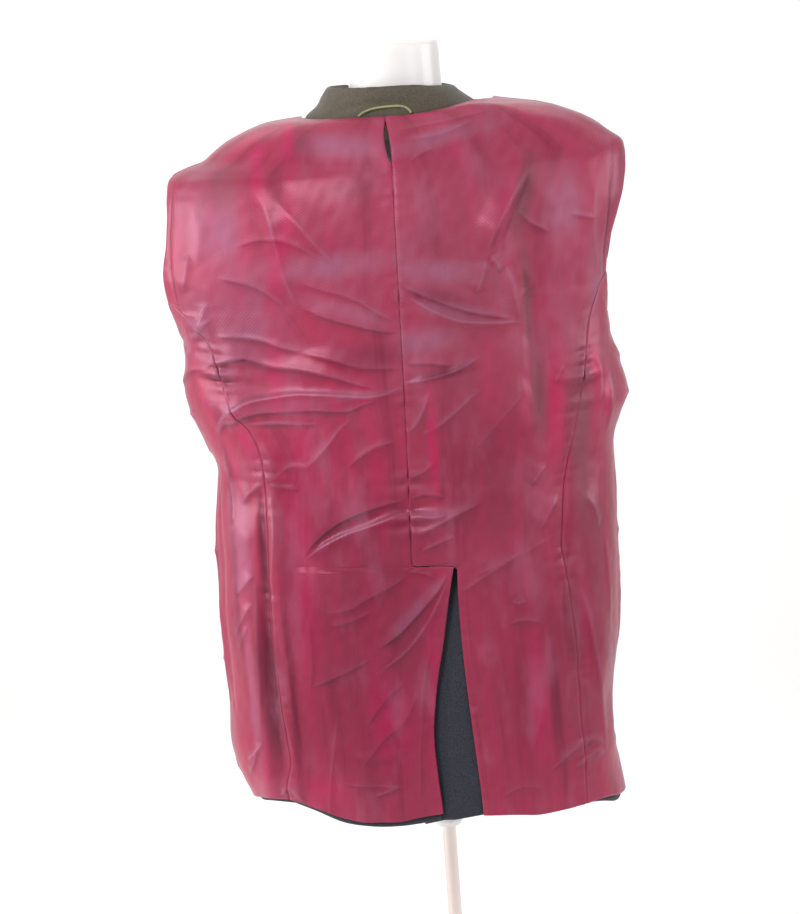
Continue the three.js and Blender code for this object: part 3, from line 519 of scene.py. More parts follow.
@dataclass
class Skin:
    """The outer face of a panel's solid, as rows and columns of points in millimetres."""

    points: np.ndarray

    @staticmethod
    def steps_from(start: int, near: list[set[int]]) -> np.ndarray:
        """The number of edges from one point to every other.

        Args:
            start: The point's number.
            near: Each point's neighbours.

        Returns:
            One count for each point.
        """
        away = np.full(len(near), -1)
        away[start], front = 0, {start}
        while front:
            step = away.max() + 1
            front = {b for a in front for b in near[a] if away[b] < 0}
            away[list(front)] = step
        return away

    @classmethod
    def of(cls, node: str, columns: int, wall: float) -> Skin:
        """Reads the outer face of a CAD panel.

        Args:
            node: The CAD node.
            columns: Columns of cells across the panel.
            wall: The wall's thickness in millimetres.

        Returns:
            The skin, its lowest row first.
        """
        mesh = FRAME["nodes"][node].data
        raw = np.zeros(len(mesh.vertices) * 3, np.float32)
        mesh.vertices.foreach_get("co", raw)
        raw = raw.reshape(-1, 3).astype(float) / MM
        mesh.calc_loop_triangles()
        corners = np.array([t.vertices[:] for t in mesh.loop_triangles])
        _, first, back = np.unique(
            np.round(raw / SAME_POINT).astype(int), axis=0, return_index=True, return_inverse=True
        )
        points, faces = raw[first], back.reshape(-1)[corners]
        sides = points[faces] - points[np.roll(faces, 1, axis=1)]
        across_the_wall = np.linalg.norm(sides, axis=2).min(axis=1) <= wall + 2.4 * SAME_POINT
        faces = faces[~across_the_wall]
        shell = cls._outermost(points, faces)
        return cls(cls._rows(points, shell, columns))

    @staticmethod
    def _outermost(points: np.ndarray, faces: np.ndarray) -> np.ndarray:
        """The connected faces that look away from the pole's axis.

        Args:
            points: The solid's points.
            faces: Its triangles, without those across the wall.

        Returns:
            The triangles of the outer face.
        """
        group = np.arange(len(points))
        while True:
            low = group.copy()
            np.minimum.at(low, faces.ravel(), np.repeat(group[faces].min(axis=1), 3))
            low = low[low]
            if (low == group).all():
                break
            group = low
        best, chosen = -np.inf, faces
        # Each side of the wall holds near half of the triangles; scraps don't count.
        for label in np.unique(group[faces[:, 0]]):
            part = faces[group[faces[:, 0]] == label]
            a, b, c = (points[part[:, k]] for k in range(3))
            middle, normal = (a + b + c) / 3, np.cross(b - a, c - a)
            flux = (middle[:, :2] * normal[:, :2]).sum()
            if len(part) > len(faces) / 3 and flux > best:
                best, chosen = flux, part
        return chosen

    @classmethod
    def _rows(cls, points: np.ndarray, faces: np.ndarray, columns: int) -> np.ndarray:
        """Orders a regular triangulated sheet into rows and columns.

        Args:
            points: The solid's points.
            faces: The sheet's triangles.
            columns: Columns of cells across it.

        Returns:
            Rows and columns of points, the lowest row first.
        """
        used, faces = np.unique(faces, return_inverse=True)
        points, faces = points[used], faces.reshape(-1, 3)
        near: list[set[int]] = [set() for _ in points]
        for a, b, c in faces:
            near[a] |= {b, c}
            near[b] |= {a, c}
            near[c] |= {a, b}
        count = np.bincount(faces.ravel(), minlength=len(points))
        rows = len(points) // (columns + 1) - 1
        if (rows + 1) * (columns + 1) != len(points) or (count == 1).sum() != 2:
            raise ValueError(f"the sheet isn't a regular grid of {columns} columns")
        from_low = min(np.flatnonzero(count == 2), key=lambda k: points[k, 2])
        first = cls.steps_from(int(from_low), near)
        ends = np.flatnonzero(count == 1)
        side = next((k for k in ends if first[k] == columns), ends[0])
        second = cls.steps_from(int(side), near)
        lead = columns - second
        column = np.where(lead >= 0, first, first + lead)
        row = np.where(lead >= 0, first - lead, first)
        grid = np.zeros((rows + 1, columns + 1, 3))
        grid[row, column] = points
        return grid

    def dense(self, cell: float) -> np.ndarray:
        """The skin with smaller, even cells.

        Args:
            cell: Width and height of a cell in millimetres.

        Returns:
            Rows and columns of points.
        """
        parts = [self._even(part, 0, cell) for part in self._between_steps()]
        grid = np.concatenate([parts[0], *(part[1:] for part in parts[1:])])
        return self._even(grid, 1, cell)

    @staticmethod
    def _even(grid: np.ndarray, axis: int, size: float) -> np.ndarray:
        """Resamples one axis at even lengths.

        Args:
            grid: Rows and columns of points.
            axis: 0 for up the panel, 1 for across it.
            size: Length of a cell.

        Returns:
            The new grid.
        """
        run = lengths(grid, axis)
        at = np.linspace(0, run[-1], max(2, round(run[-1] / size) + 1))
        return np.moveaxis(spline(np.moveaxis(grid, axis, 0), run, at), 0, axis)

    def _between_steps(self) -> list[np.ndarray]:
        """Cuts the rows where an edge steps sideways, as at the vent and the armhole.

        Returns:
            Groups of rows that share their end rows.
        """
        step = np.abs(np.diff(self.points, axis=0))
        side = np.hypot(step[..., 0], step[..., 1])[:, [0, -1]].max(axis=1)
        high = self.points[1:, :, 2].mean(axis=1)
        cuts = np.flatnonzero((side > STEP_SLOPE * step[..., 2].mean(axis=1)) & (high < STEP_BELOW))
        edges = sorted({0, len(self.points) - 1, *cuts.tolist(), *(cuts + 1).tolist()})
        return [self.points[a : b + 1] for a, b in zip(edges, edges[1:], strict=False)]


def normals_of(grid: np.ndarray) -> np.ndarray:
    """Unit normals of a grid of points.

    Args:
        grid: Rows and columns of points.

    Returns:
        The normals, which look away from the pole's axis on average.
    """
    across, up = np.gradient(grid, axis=1), np.gradient(grid, axis=0)
    normal = np.cross(across, up)
    normal /= np.maximum(np.linalg.norm(normal, axis=2, keepdims=True), 1e-9)
    if (normal[..., :2] * grid[..., :2]).sum() < 0:
        normal = -normal
    return normal


def smooth_step(value: np.ndarray) -> np.ndarray:
    """0 to 1 with soft ends."""
    t = np.clip(value, 0, 1)
    return t * t * (3 - 2 * t)


class Crest(Enum):
    """The section of a crease across its line."""

    SHARP = "sharp"
    ROUND = "round"


@dataclass(frozen=True)
class Crease:
    """One crease along a line of places on the cloth, in millimetres.

    The line runs over (u, z): u is x on the back, and goes on round the sides as the cloth's own
    width. A positive height is a ridge. Lines run to the right or upwards, so the first width is
    the slope above or to the left of the line, and the second the slope below or to the right.
    """

    line: tuple[tuple[float, float], ...]
    height: float
    widths: tuple[float, float]
    crest: Crest = Crest.SHARP

    def heights(self, u: np.ndarray, z: np.ndarray) -> np.ndarray:
        """How far the crease lifts the cloth.

        Args:
            u: Places across the cloth.
            z: Heights.

        Returns:
            The lift at each place.
        """
        knots = np.arange(len(self.line), dtype=float)
        ends = np.linspace(0, knots[-1], CREASE_STEPS * (len(self.line) - 1) + 1)
        line = spline(np.array(self.line, float), knots, ends)
        reach = CREASE_REACH * max(self.widths)
        low, high = line.min(axis=0) - reach, line.max(axis=0) + reach
        near = (u > low[0]) & (u < high[0]) & (z > low[1]) & (z < high[1])
        out = np.zeros(u.shape)
        if not near.any():
            return out
        place = np.stack([u[near], z[near]], axis=1)
        best = np.full(len(place), np.inf)
        share, side = np.zeros(len(place)), np.zeros(len(place))
        run = np.concatenate([[0], np.cumsum(np.linalg.norm(np.diff(line, axis=0), axis=1))])
        for k in range(len(line) - 1):
            step = line[k + 1] - line[k]
            long = max(float(step @ step), 1e-9)
            t = np.clip((place - line[k]) @ step / long, 0, 1)
            off = place - line[k] - t[:, None] * step
            away = np.hypot(off[:, 0], off[:, 1])
            closer = away < best
            best = np.where(closer, away, best)
            share = np.where(closer, (run[k] + t * math.sqrt(long)) / run[-1], share)
            side = np.where(closer, np.sign(step[0] * off[:, 1] - step[1] * off[:, 0]), side)
        taper = smooth_step(np.minimum(share, 1 - share) / CREASE_ENDS)
        width = np.where(side > 0, *self.widths) * (END_WIDTH + (1 - END_WIDTH) * taper)
        if self.crest is Crest.SHARP:
            shape = np.exp(-(np.sqrt(best**2 + CREST_SOFT**2) - CREST_SOFT) / width)
        else:
            shape = np.exp(-((best / width) ** 2))
        out[near] = self.height * taper**END_FORM * shape
        return out


@dataclass(frozen=True)
class Patch:
    """A soft oval of painted light and shade, in its tone, over (u, z) in millimetres."""

    middle: tuple[float, float]
    half: tuple[float, float]
    strength: float
    turn: float = 0.0

    def amounts(self, u: np.ndarray, z: np.ndarray) -> np.ndarray:
        """The patch's share of its tone.

        Args:
            u: Places across the cloth.
            z: Heights.

        Returns:
            The share at each place.
        """
        angle = math.radians(self.turn)
        across, up = u - self.middle[0], z - self.middle[1]
        along = across * math.cos(angle) + up * math.sin(angle)
        over = up * math.cos(angle) - across * math.sin(angle)
        far = np.abs(along / self.half[0]) ** PATCH_EDGE + np.abs(over / self.half[1]) ** PATCH_EDGE
        return self.strength * np.exp(-far)


@dataclass(frozen=True)
class Nudge:
    """A soft local move of the cloth: middle, reach and move along x, y and z in millimetres."""

    middle: tuple[float, float, float]
    reach: tuple[float, float, float]
    move: tuple[float, float, float]

    def moved(self, points: np.ndarray) -> np.ndarray:
        """The moves at each point."""
        far = (((points - self.middle) / self.reach) ** 2).sum(axis=-1)
        return np.exp(-far)[..., None] * np.array(self.move)


@dataclass(frozen=True)
class Rumple:
    """Fine unevenness of a cloth: a sum of slanted waves with seeded directions."""

    height: float
    length: float
    seed: int
    waves: int = 9

    def heights(self, u: np.ndarray, z: np.ndarray) -> np.ndarray:
        """The unevenness of the cloth.

        Args:
            u: Places across the cloth.
            z: Heights.

        Returns:
            The lift at each place.
        """
        draw = np.random.default_rng(self.seed)
        out = np.zeros(u.shape)
        for _ in range(self.waves):
            turn = draw.uniform(0, math.pi)
            size = self.length * draw.uniform(0.6, 1.7)
            phase = draw.uniform(0, 2 * math.pi)
            out += np.sin((u * math.cos(turn) + z * math.sin(turn)) * 2 * math.pi / size + phase)
        return self.height * out / math.sqrt(self.waves)


@dataclass(frozen=True)
class Pucker:
    """Short pulls across a seam: the cloth gathers a little where it is sewn."""

    height: float
    reach: float
    spacing: float
    seed: int
    low: float = -1e9
    high: float = 1e9

    def heights(self, away: np.ndarray, along: np.ndarray) -> np.ndarray:
        """The pulls beside the seam.

        Args:
            away: Distances from the seam.
            along: Heights along it.

        Returns:
            The lift at each place.
        """
        draw = np.random.default_rng(self.seed)
        wave = np.zeros(along.shape)
        for share in PUCKER_SHARES:
            wave += self._wave(along, share, draw)
        wave *= 1 + self._wave(along, PUCKER_SWELL, draw)
        inside = smooth_step((along - self.low) / PUCKER_ENDS)
        inside *= smooth_step((self.high - along) / PUCKER_ENDS)
        shape = (1 - np.exp(-away / PUCKER_START)) * np.exp(-away / self.reach)
        return self.height * inside * wave * PUCKER_SHARE * shape

    def _wave(self, along: np.ndarray, share: float, draw: np.random.Generator) -> np.ndarray:
        """One wave along the seam, as long as a share of the spacing, with a random phase."""
        phase = draw.uniform(0, ANY_PHASE)
        return np.sin(along * 2 * math.pi / (self.spacing * share) + phase)


@dataclass(frozen=True)
class Cut:
    """What a piece was cut to: width and length, and area, in metres; and its solid's columns."""

    flat: tuple[float, float]
    area: float
    columns: int = 0


@dataclass
class Panel:
    """One cut piece of cloth: its CAD node, its cut, its cells, its creases and its tones of
    painted light and shade.

    `start` gives u at the panel's edge nearer the centre back for a height; without it u is x.
    `dip` is how deep its sewn edges lie, `close` how far they reach into the seam gap, and `sink`
    how far the whole panel lies under its solid's face. Creases end at the `shoulder` seam.
    """

    node: str
    finish: Finish
    cut: Cut
    wall: float
    cell: float
    start: Callable[[np.ndarray], np.ndarray] | None = None
    creases: Sequence[Crease] = ()
    rumples: Sequence[Rumple] = ()
    patches: dict[PaintedLightAndShade, Sequence[Patch]] = field(default_factory=dict)
    puckers: dict[Edge, Sequence[Pucker]] = field(default_factory=dict)
    nudges: Sequence[Nudge] = ()
    dip: float = 0.0
    close: float = 0.0
    sink: float = 0.0
    shoulder: float = 1441.0

    def __post_init__(self) -> None:
        """Reads the panel's skin and lays out its (u, z) places."""
        grid = Skin.of(self.node, self.cut.columns, self.wall).dense(self.cell)
        for nudge in (*NUDGES, *self.nudges):
            grid = grid + nudge.moved(grid)
        self.grid = self._closed(grid)
        steps = np.linalg.norm(np.diff(self.grid, axis=1), axis=2).cumsum(axis=1)
        self.across = np.concatenate([np.zeros((len(self.grid), 1)), steps], axis=1)
        self.u = self._places()

    def _closed(self, grid: np.ndarray) -> np.ndarray:
        """Widens the panel a little at both side edges, so the seams close to a line.

        Args:
            grid: Rows and columns of points, which are changed.

        Returns:
            The grid.
        """
        if self.close:
            for edge, inner in ((0, 1), (-1, -2)):
                out = grid[:, edge] - grid[:, inner]
                grid[:, edge] += out * self.close / np.linalg.norm(out, axis=1, keepdims=True)
        return grid

    def _places(self) -> np.ndarray:
        """Measures the panel's u.

        Returns:
            The place across the cloth at each point.
        """
        if self.start is None:
            return self.grid[..., 0]
        left = self.grid[:, :, 0].mean() < 0
        back = self.grid[:, 0, 1].mean() < self.grid[:, -1, 1].mean()
        run = self.across if back else self.across[:, -1:] - self.across
        near = self.grid[:, 0 if back else -1, 2]
        return self.start(near)[:, None] + (-run if left else run)

    def far_edge(self) -> Callable[[np.ndarray], np.ndarray]:
        """Follows the panel's edge away from the centre back.

        Returns:
            A function that gives the edge's u at a height.
        """
        ends = (np.abs(self.u[:, 0]) > np.abs(self.u[:, -1])).mean() > 0.5
        edge = 0 if ends else -1
        heights, places = self.grid[:, edge, 2].copy(), self.u[:, edge].copy()
        return lambda z: np.interp(z, heights, places)

    def build(self) -> bpy.types.Object:
        """Returns:
            The finished object.
        """
        normal = normals_of(self.grid)
        height = self.heights()
        outer = self.grid + normal * height[..., None]
        relief = normals_of(outer)
        made = sheet_mesh(self.node.replace("_", "-"), outer, relief, self.wall)
        self._paint_light_and_shade(made, relief[..., 2] - normal[..., 2], self._folds(height))
        declare_cloth(made, self.finish, self.node)
        return made

    def heights(self) -> np.ndarray:
        """How far the cloth stands off its solid's skin.

        Returns:
            The height at each point.
        """
        u, z = self.u, self.grid[..., 2]
        total = np.zeros(u.shape)
        for part in (*self.creases, *self.rumples):
            total += part.heights(u, z)
        near = self._from_edges()
        above = smooth_step((z - self.shoulder) / SHOULDER_RISE)
        total *= 1 - above * np.exp(-near / SHOULDER_EDGE)
        total = np.where(total < 0, LOW_LIMIT * np.tanh(total / LOW_LIMIT), total)
        for edge, pulls in self.puckers.items():
            away = self.across if edge is Edge.FIRST else self.across[:, -1:] - self.across
            for pull in pulls:
                total += pull.heights(away, z)
        return total - self.dip * np.exp(-((near / SEAM_WIDTH) ** 2)) - self.sink

    def _from_edges(self) -> np.ndarray:
        """Each point's distance from the nearer side edge."""
        return np.minimum(self.across, self.across[:, -1:] - self.across)

    def _folds(self, height: np.ndarray) -> np.ndarray:
        """How sharply the cloth bends.

        Args:
            height: How far each point stands off the solid's skin.

        Returns:
            Values below zero on a crest and above zero in a groove.
        """
        bend = np.zeros(height.shape)
        rows = np.diff(lengths(self.grid, 0))
        even = np.abs(np.diff(rows)) < 0.1 * rows[1:]
        bend[1:-1] += (height[2:] + height[:-2] - 2 * height[1:-1]) * even[:, None]
        bend[:, 1:-1] += height[:, 2:] + height[:, :-2] - 2 * height[:, 1:-1]
        return bend / self.cell * (1 - np.exp(-((self._from_edges() / EDGE_CLEAR) ** 2)))

    def _paint_light_and_shade(self, made: bpy.types.Object, lift: np.ndarray, fold: np.ndarray) -> None:
        """Writes the painted light and shade: the listed patches, mauve light where the cloth turns
        up and on crests, deep shade where it turns down and in grooves.

        Args:
            made: The piece.
            lift: How much more each point looks up than the plain skin does.
            fold: How sharply the cloth bends there.
        """
        u, z = self.u, self.grid[..., 2]
        for tone in PaintedLightAndShade:
            share = np.zeros(u.shape)
            for patch in self.patches.get(tone, ()):
                share = np.maximum(share, patch.amounts(u, z))
            for change, painted_gains in ((lift, SLOPE_PAINTED_LIGHT_AND_SHADE), (fold, BEND_PAINTED_HIGHLIGHT_AND_SHADE)):
                gain, most = painted_gains.get(tone, (0.0, 0.0))
                share += np.clip(change * gain, 0, most)
            values = np.zeros(len(made.data.vertices), np.float32)
            values[: share.size] = np.clip(share, 0, 1).ravel()
            layer = made.data.attributes.new(tone.value, "FLOAT", "POINT")
            layer.data.foreach_set("value", values)


def sheet_mesh(name: str, outer: np.ndarray, normal: np.ndarray, wall: float) -> bpy.types.Object:
    """A closed thin wall of cloth: a fine outer face and a coarser inner face.

    Args:
        name: The object's name.
        outer: Rows and columns of outer points in millimetres.
        normal: Unit normals at those points.
        wall: Thickness in millimetres.

    Returns:
        The object, with a UV map in metres along and across the cloth.
    """
    rows, columns = outer.shape[:2]
    inner = outer - normal * wall
    keep = INNER_EVERY if min(rows, columns) > SMALL_SHEET else 1
    pick_rows, pick_columns = thin(rows, keep), thin(columns, keep)
    coarse = inner[np.ix_(pick_rows, pick_columns)]
    points = np.concatenate([outer.reshape(-1, 3), coarse.reshape(-1, 3)]) * MM
    flat = np.stack(np.meshgrid(lengths(outer, 1), lengths(outer, 0)), axis=2)
    places = np.concatenate(
        [flat.reshape(-1, 2), flat[np.ix_(pick_rows, pick_columns)].reshape(-1, 2)]
    )
    index = np.arange(rows * columns).reshape(rows, columns)
    low = rows * columns + np.arange(coarse.shape[0] * coarse.shape[1]).reshape(coarse.shape[:2])
    faces: list[tuple[int, ...]] = []
    faces += list(zip(*(a.ravel().tolist() for a in quads(index)), strict=True))
    faces += list(zip(*(a.ravel().tolist() for a in reversed(quads(low))), strict=True))
    for fine, coarse_edge, picks, turned in (
        (index[0], low[0], pick_columns, False),
        (index[:, -1], low[:, -1], pick_rows, False),
        (index[-1], low[-1], pick_columns, True),
        (index[:, 0], low[:, 0], pick_rows, True),
    ):
        faces += rim(fine, coarse_edge, picks, turned)
    mesh = bpy.data.meshes.new(name)
    mesh.from_pydata(points.tolist(), [], faces)
    layer = mesh.uv_layers.new(name="cloth")
    loops = np.zeros(len(mesh.loops), np.int32)
    mesh.loops.foreach_get("vertex_index", loops)
    layer.data.foreach_set("uv", (places[loops] * MM).astype(np.float32).ravel())
    mesh.polygons.foreach_set("use_smooth", [True] * len(mesh.polygons))
    made = add_object(name, mesh)
    if (normal * np.cross(np.gradient(outer, axis=1), np.gradient(outer, axis=0))).sum() < 0:
        mesh.flip_normals()
    return made


def thin(count: int, keep: int) -> np.ndarray:
    """Every keep-th of a row of places, with both ends."""
    picks = list(range(0, count - 1, keep))
    return np.array([*picks, count - 1])


def quads(index: np.ndarray) -> tuple[np.ndarray, ...]:
    """The corners of the cells of a grid of point numbers."""
    return index[:-1, :-1], index[:-1, 1:], index[1:, 1:], index[1:, :-1]


def rim(
    fine: np.ndarray, coarse: np.ndarray, picks: np.ndarray, turned: bool
) -> list[tuple[int, ...]]:
    """Closes one edge of a wall between its fine and its coarse face.

    Args:
        fine: Point numbers along the outer face's edge.
        coarse: Point numbers along the inner face's edge.
        picks: The places of the coarse points among the fine ones.
        turned: Whether the faces run the other way round.

    Returns:
        The faces.
    """
    faces: list[tuple[int, ...]] = []
    for k in range(len(coarse) - 1):
        run = fine[picks[k] : picks[k + 1] + 1].tolist()
        face = (*run, int(coarse[k + 1]), int(coarse[k]))
        faces.append(face if turned else face[::-1])
    return faces


# -------------------------------------------------------------------------------------- the objects
def add_object(name: str, data: bpy.types.ID) -> bpy.types.Object:
    """A new object in the scene.

    Args:
        name: Its name.
        data: Its mesh, light or camera.

    Returns:
        The object.
    """
    made = bpy.data.objects.new(name, data)
    bpy.context.scene.collection.objects.link(made)
    return made


def dress(made: bpy.types.Object, finish: Finish) -> None:
    """Gives a piece its only material."""
    made.data.materials.clear()
    made.data.materials.append(finish.material())


def adopt(made: bpy.types.Object, finish: Finish, node: str) -> None:
    """Dresses a piece and makes it ride on the part's body, in place of a CAD node.

    Args:
        made: The piece.
        finish: Its finish.
        node: The CAD node.
    """
    dress(made, finish)
    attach(made, "root")
    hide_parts(node)


def declare_cloth(
    made: bpy.types.Object, finish: Finish, node: str
) -> None:
    """Adopts a piece of cloth.

    Args:
        made: The piece.
        finish: Its finish.
        node: The CAD node that it stands for.
    """
    adopt(made, finish, node)


def deselect() -> None:
    """Clears the selection and the active object."""
    for other in bpy.context.view_layer.objects:
        other.select_set(False)
    bpy.context.view_layer.objects.active = None


def make_active(made: bpy.types.Object) -> None:
    """Selects one object alone.

    Args:
        made: The object.
    """
    deselect()
    made.select_set(True)
    bpy.context.view_layer.objects.active = made


def rounded_copy(node: str, name: str, levels: int = 2) -> bpy.types.Object:
    """A merged copy of a CAD node's mesh, rounded by an applied Subdivision Surface.

    Args:
        node: The CAD node.
        name: The new object's name.
        levels: How often its faces are divided.

    Returns:
        The new object.
    """
    mesh = FRAME["nodes"][node].data.copy()
    mesh.name = name
    mesh.materials.clear()
    work = bmesh.new()
    work.from_mesh(mesh)
    bmesh.ops.remove_doubles(work, verts=work.verts, dist=COPY_MERGE_METRES)
    bmesh.ops.join_triangles(
        work, faces=work.faces, angle_face_threshold=0.7, angle_shape_threshold=1.2
    )
    work.to_mesh(mesh)
    work.free()
    made = add_object(name, mesh)
    make_active(made)
    surface = made.modifiers.new("round", "SUBSURF")
    surface.levels = surface.render_levels = levels
    bpy.ops.object.modifier_apply(modifier="round")
    bpy.ops.object.shade_smooth()
    deselect()
    return made


def rounded_wool(node: str) -> bpy.types.Object:
    """A wool piece with its solid's own form, rounded.

    Args:
        node: The CAD node.

    Returns:
        The piece.
    """
    made = rounded_copy(node, node.replace("_", "-"))
    declare_cloth(made, Finish.WOOL, node)
    return made


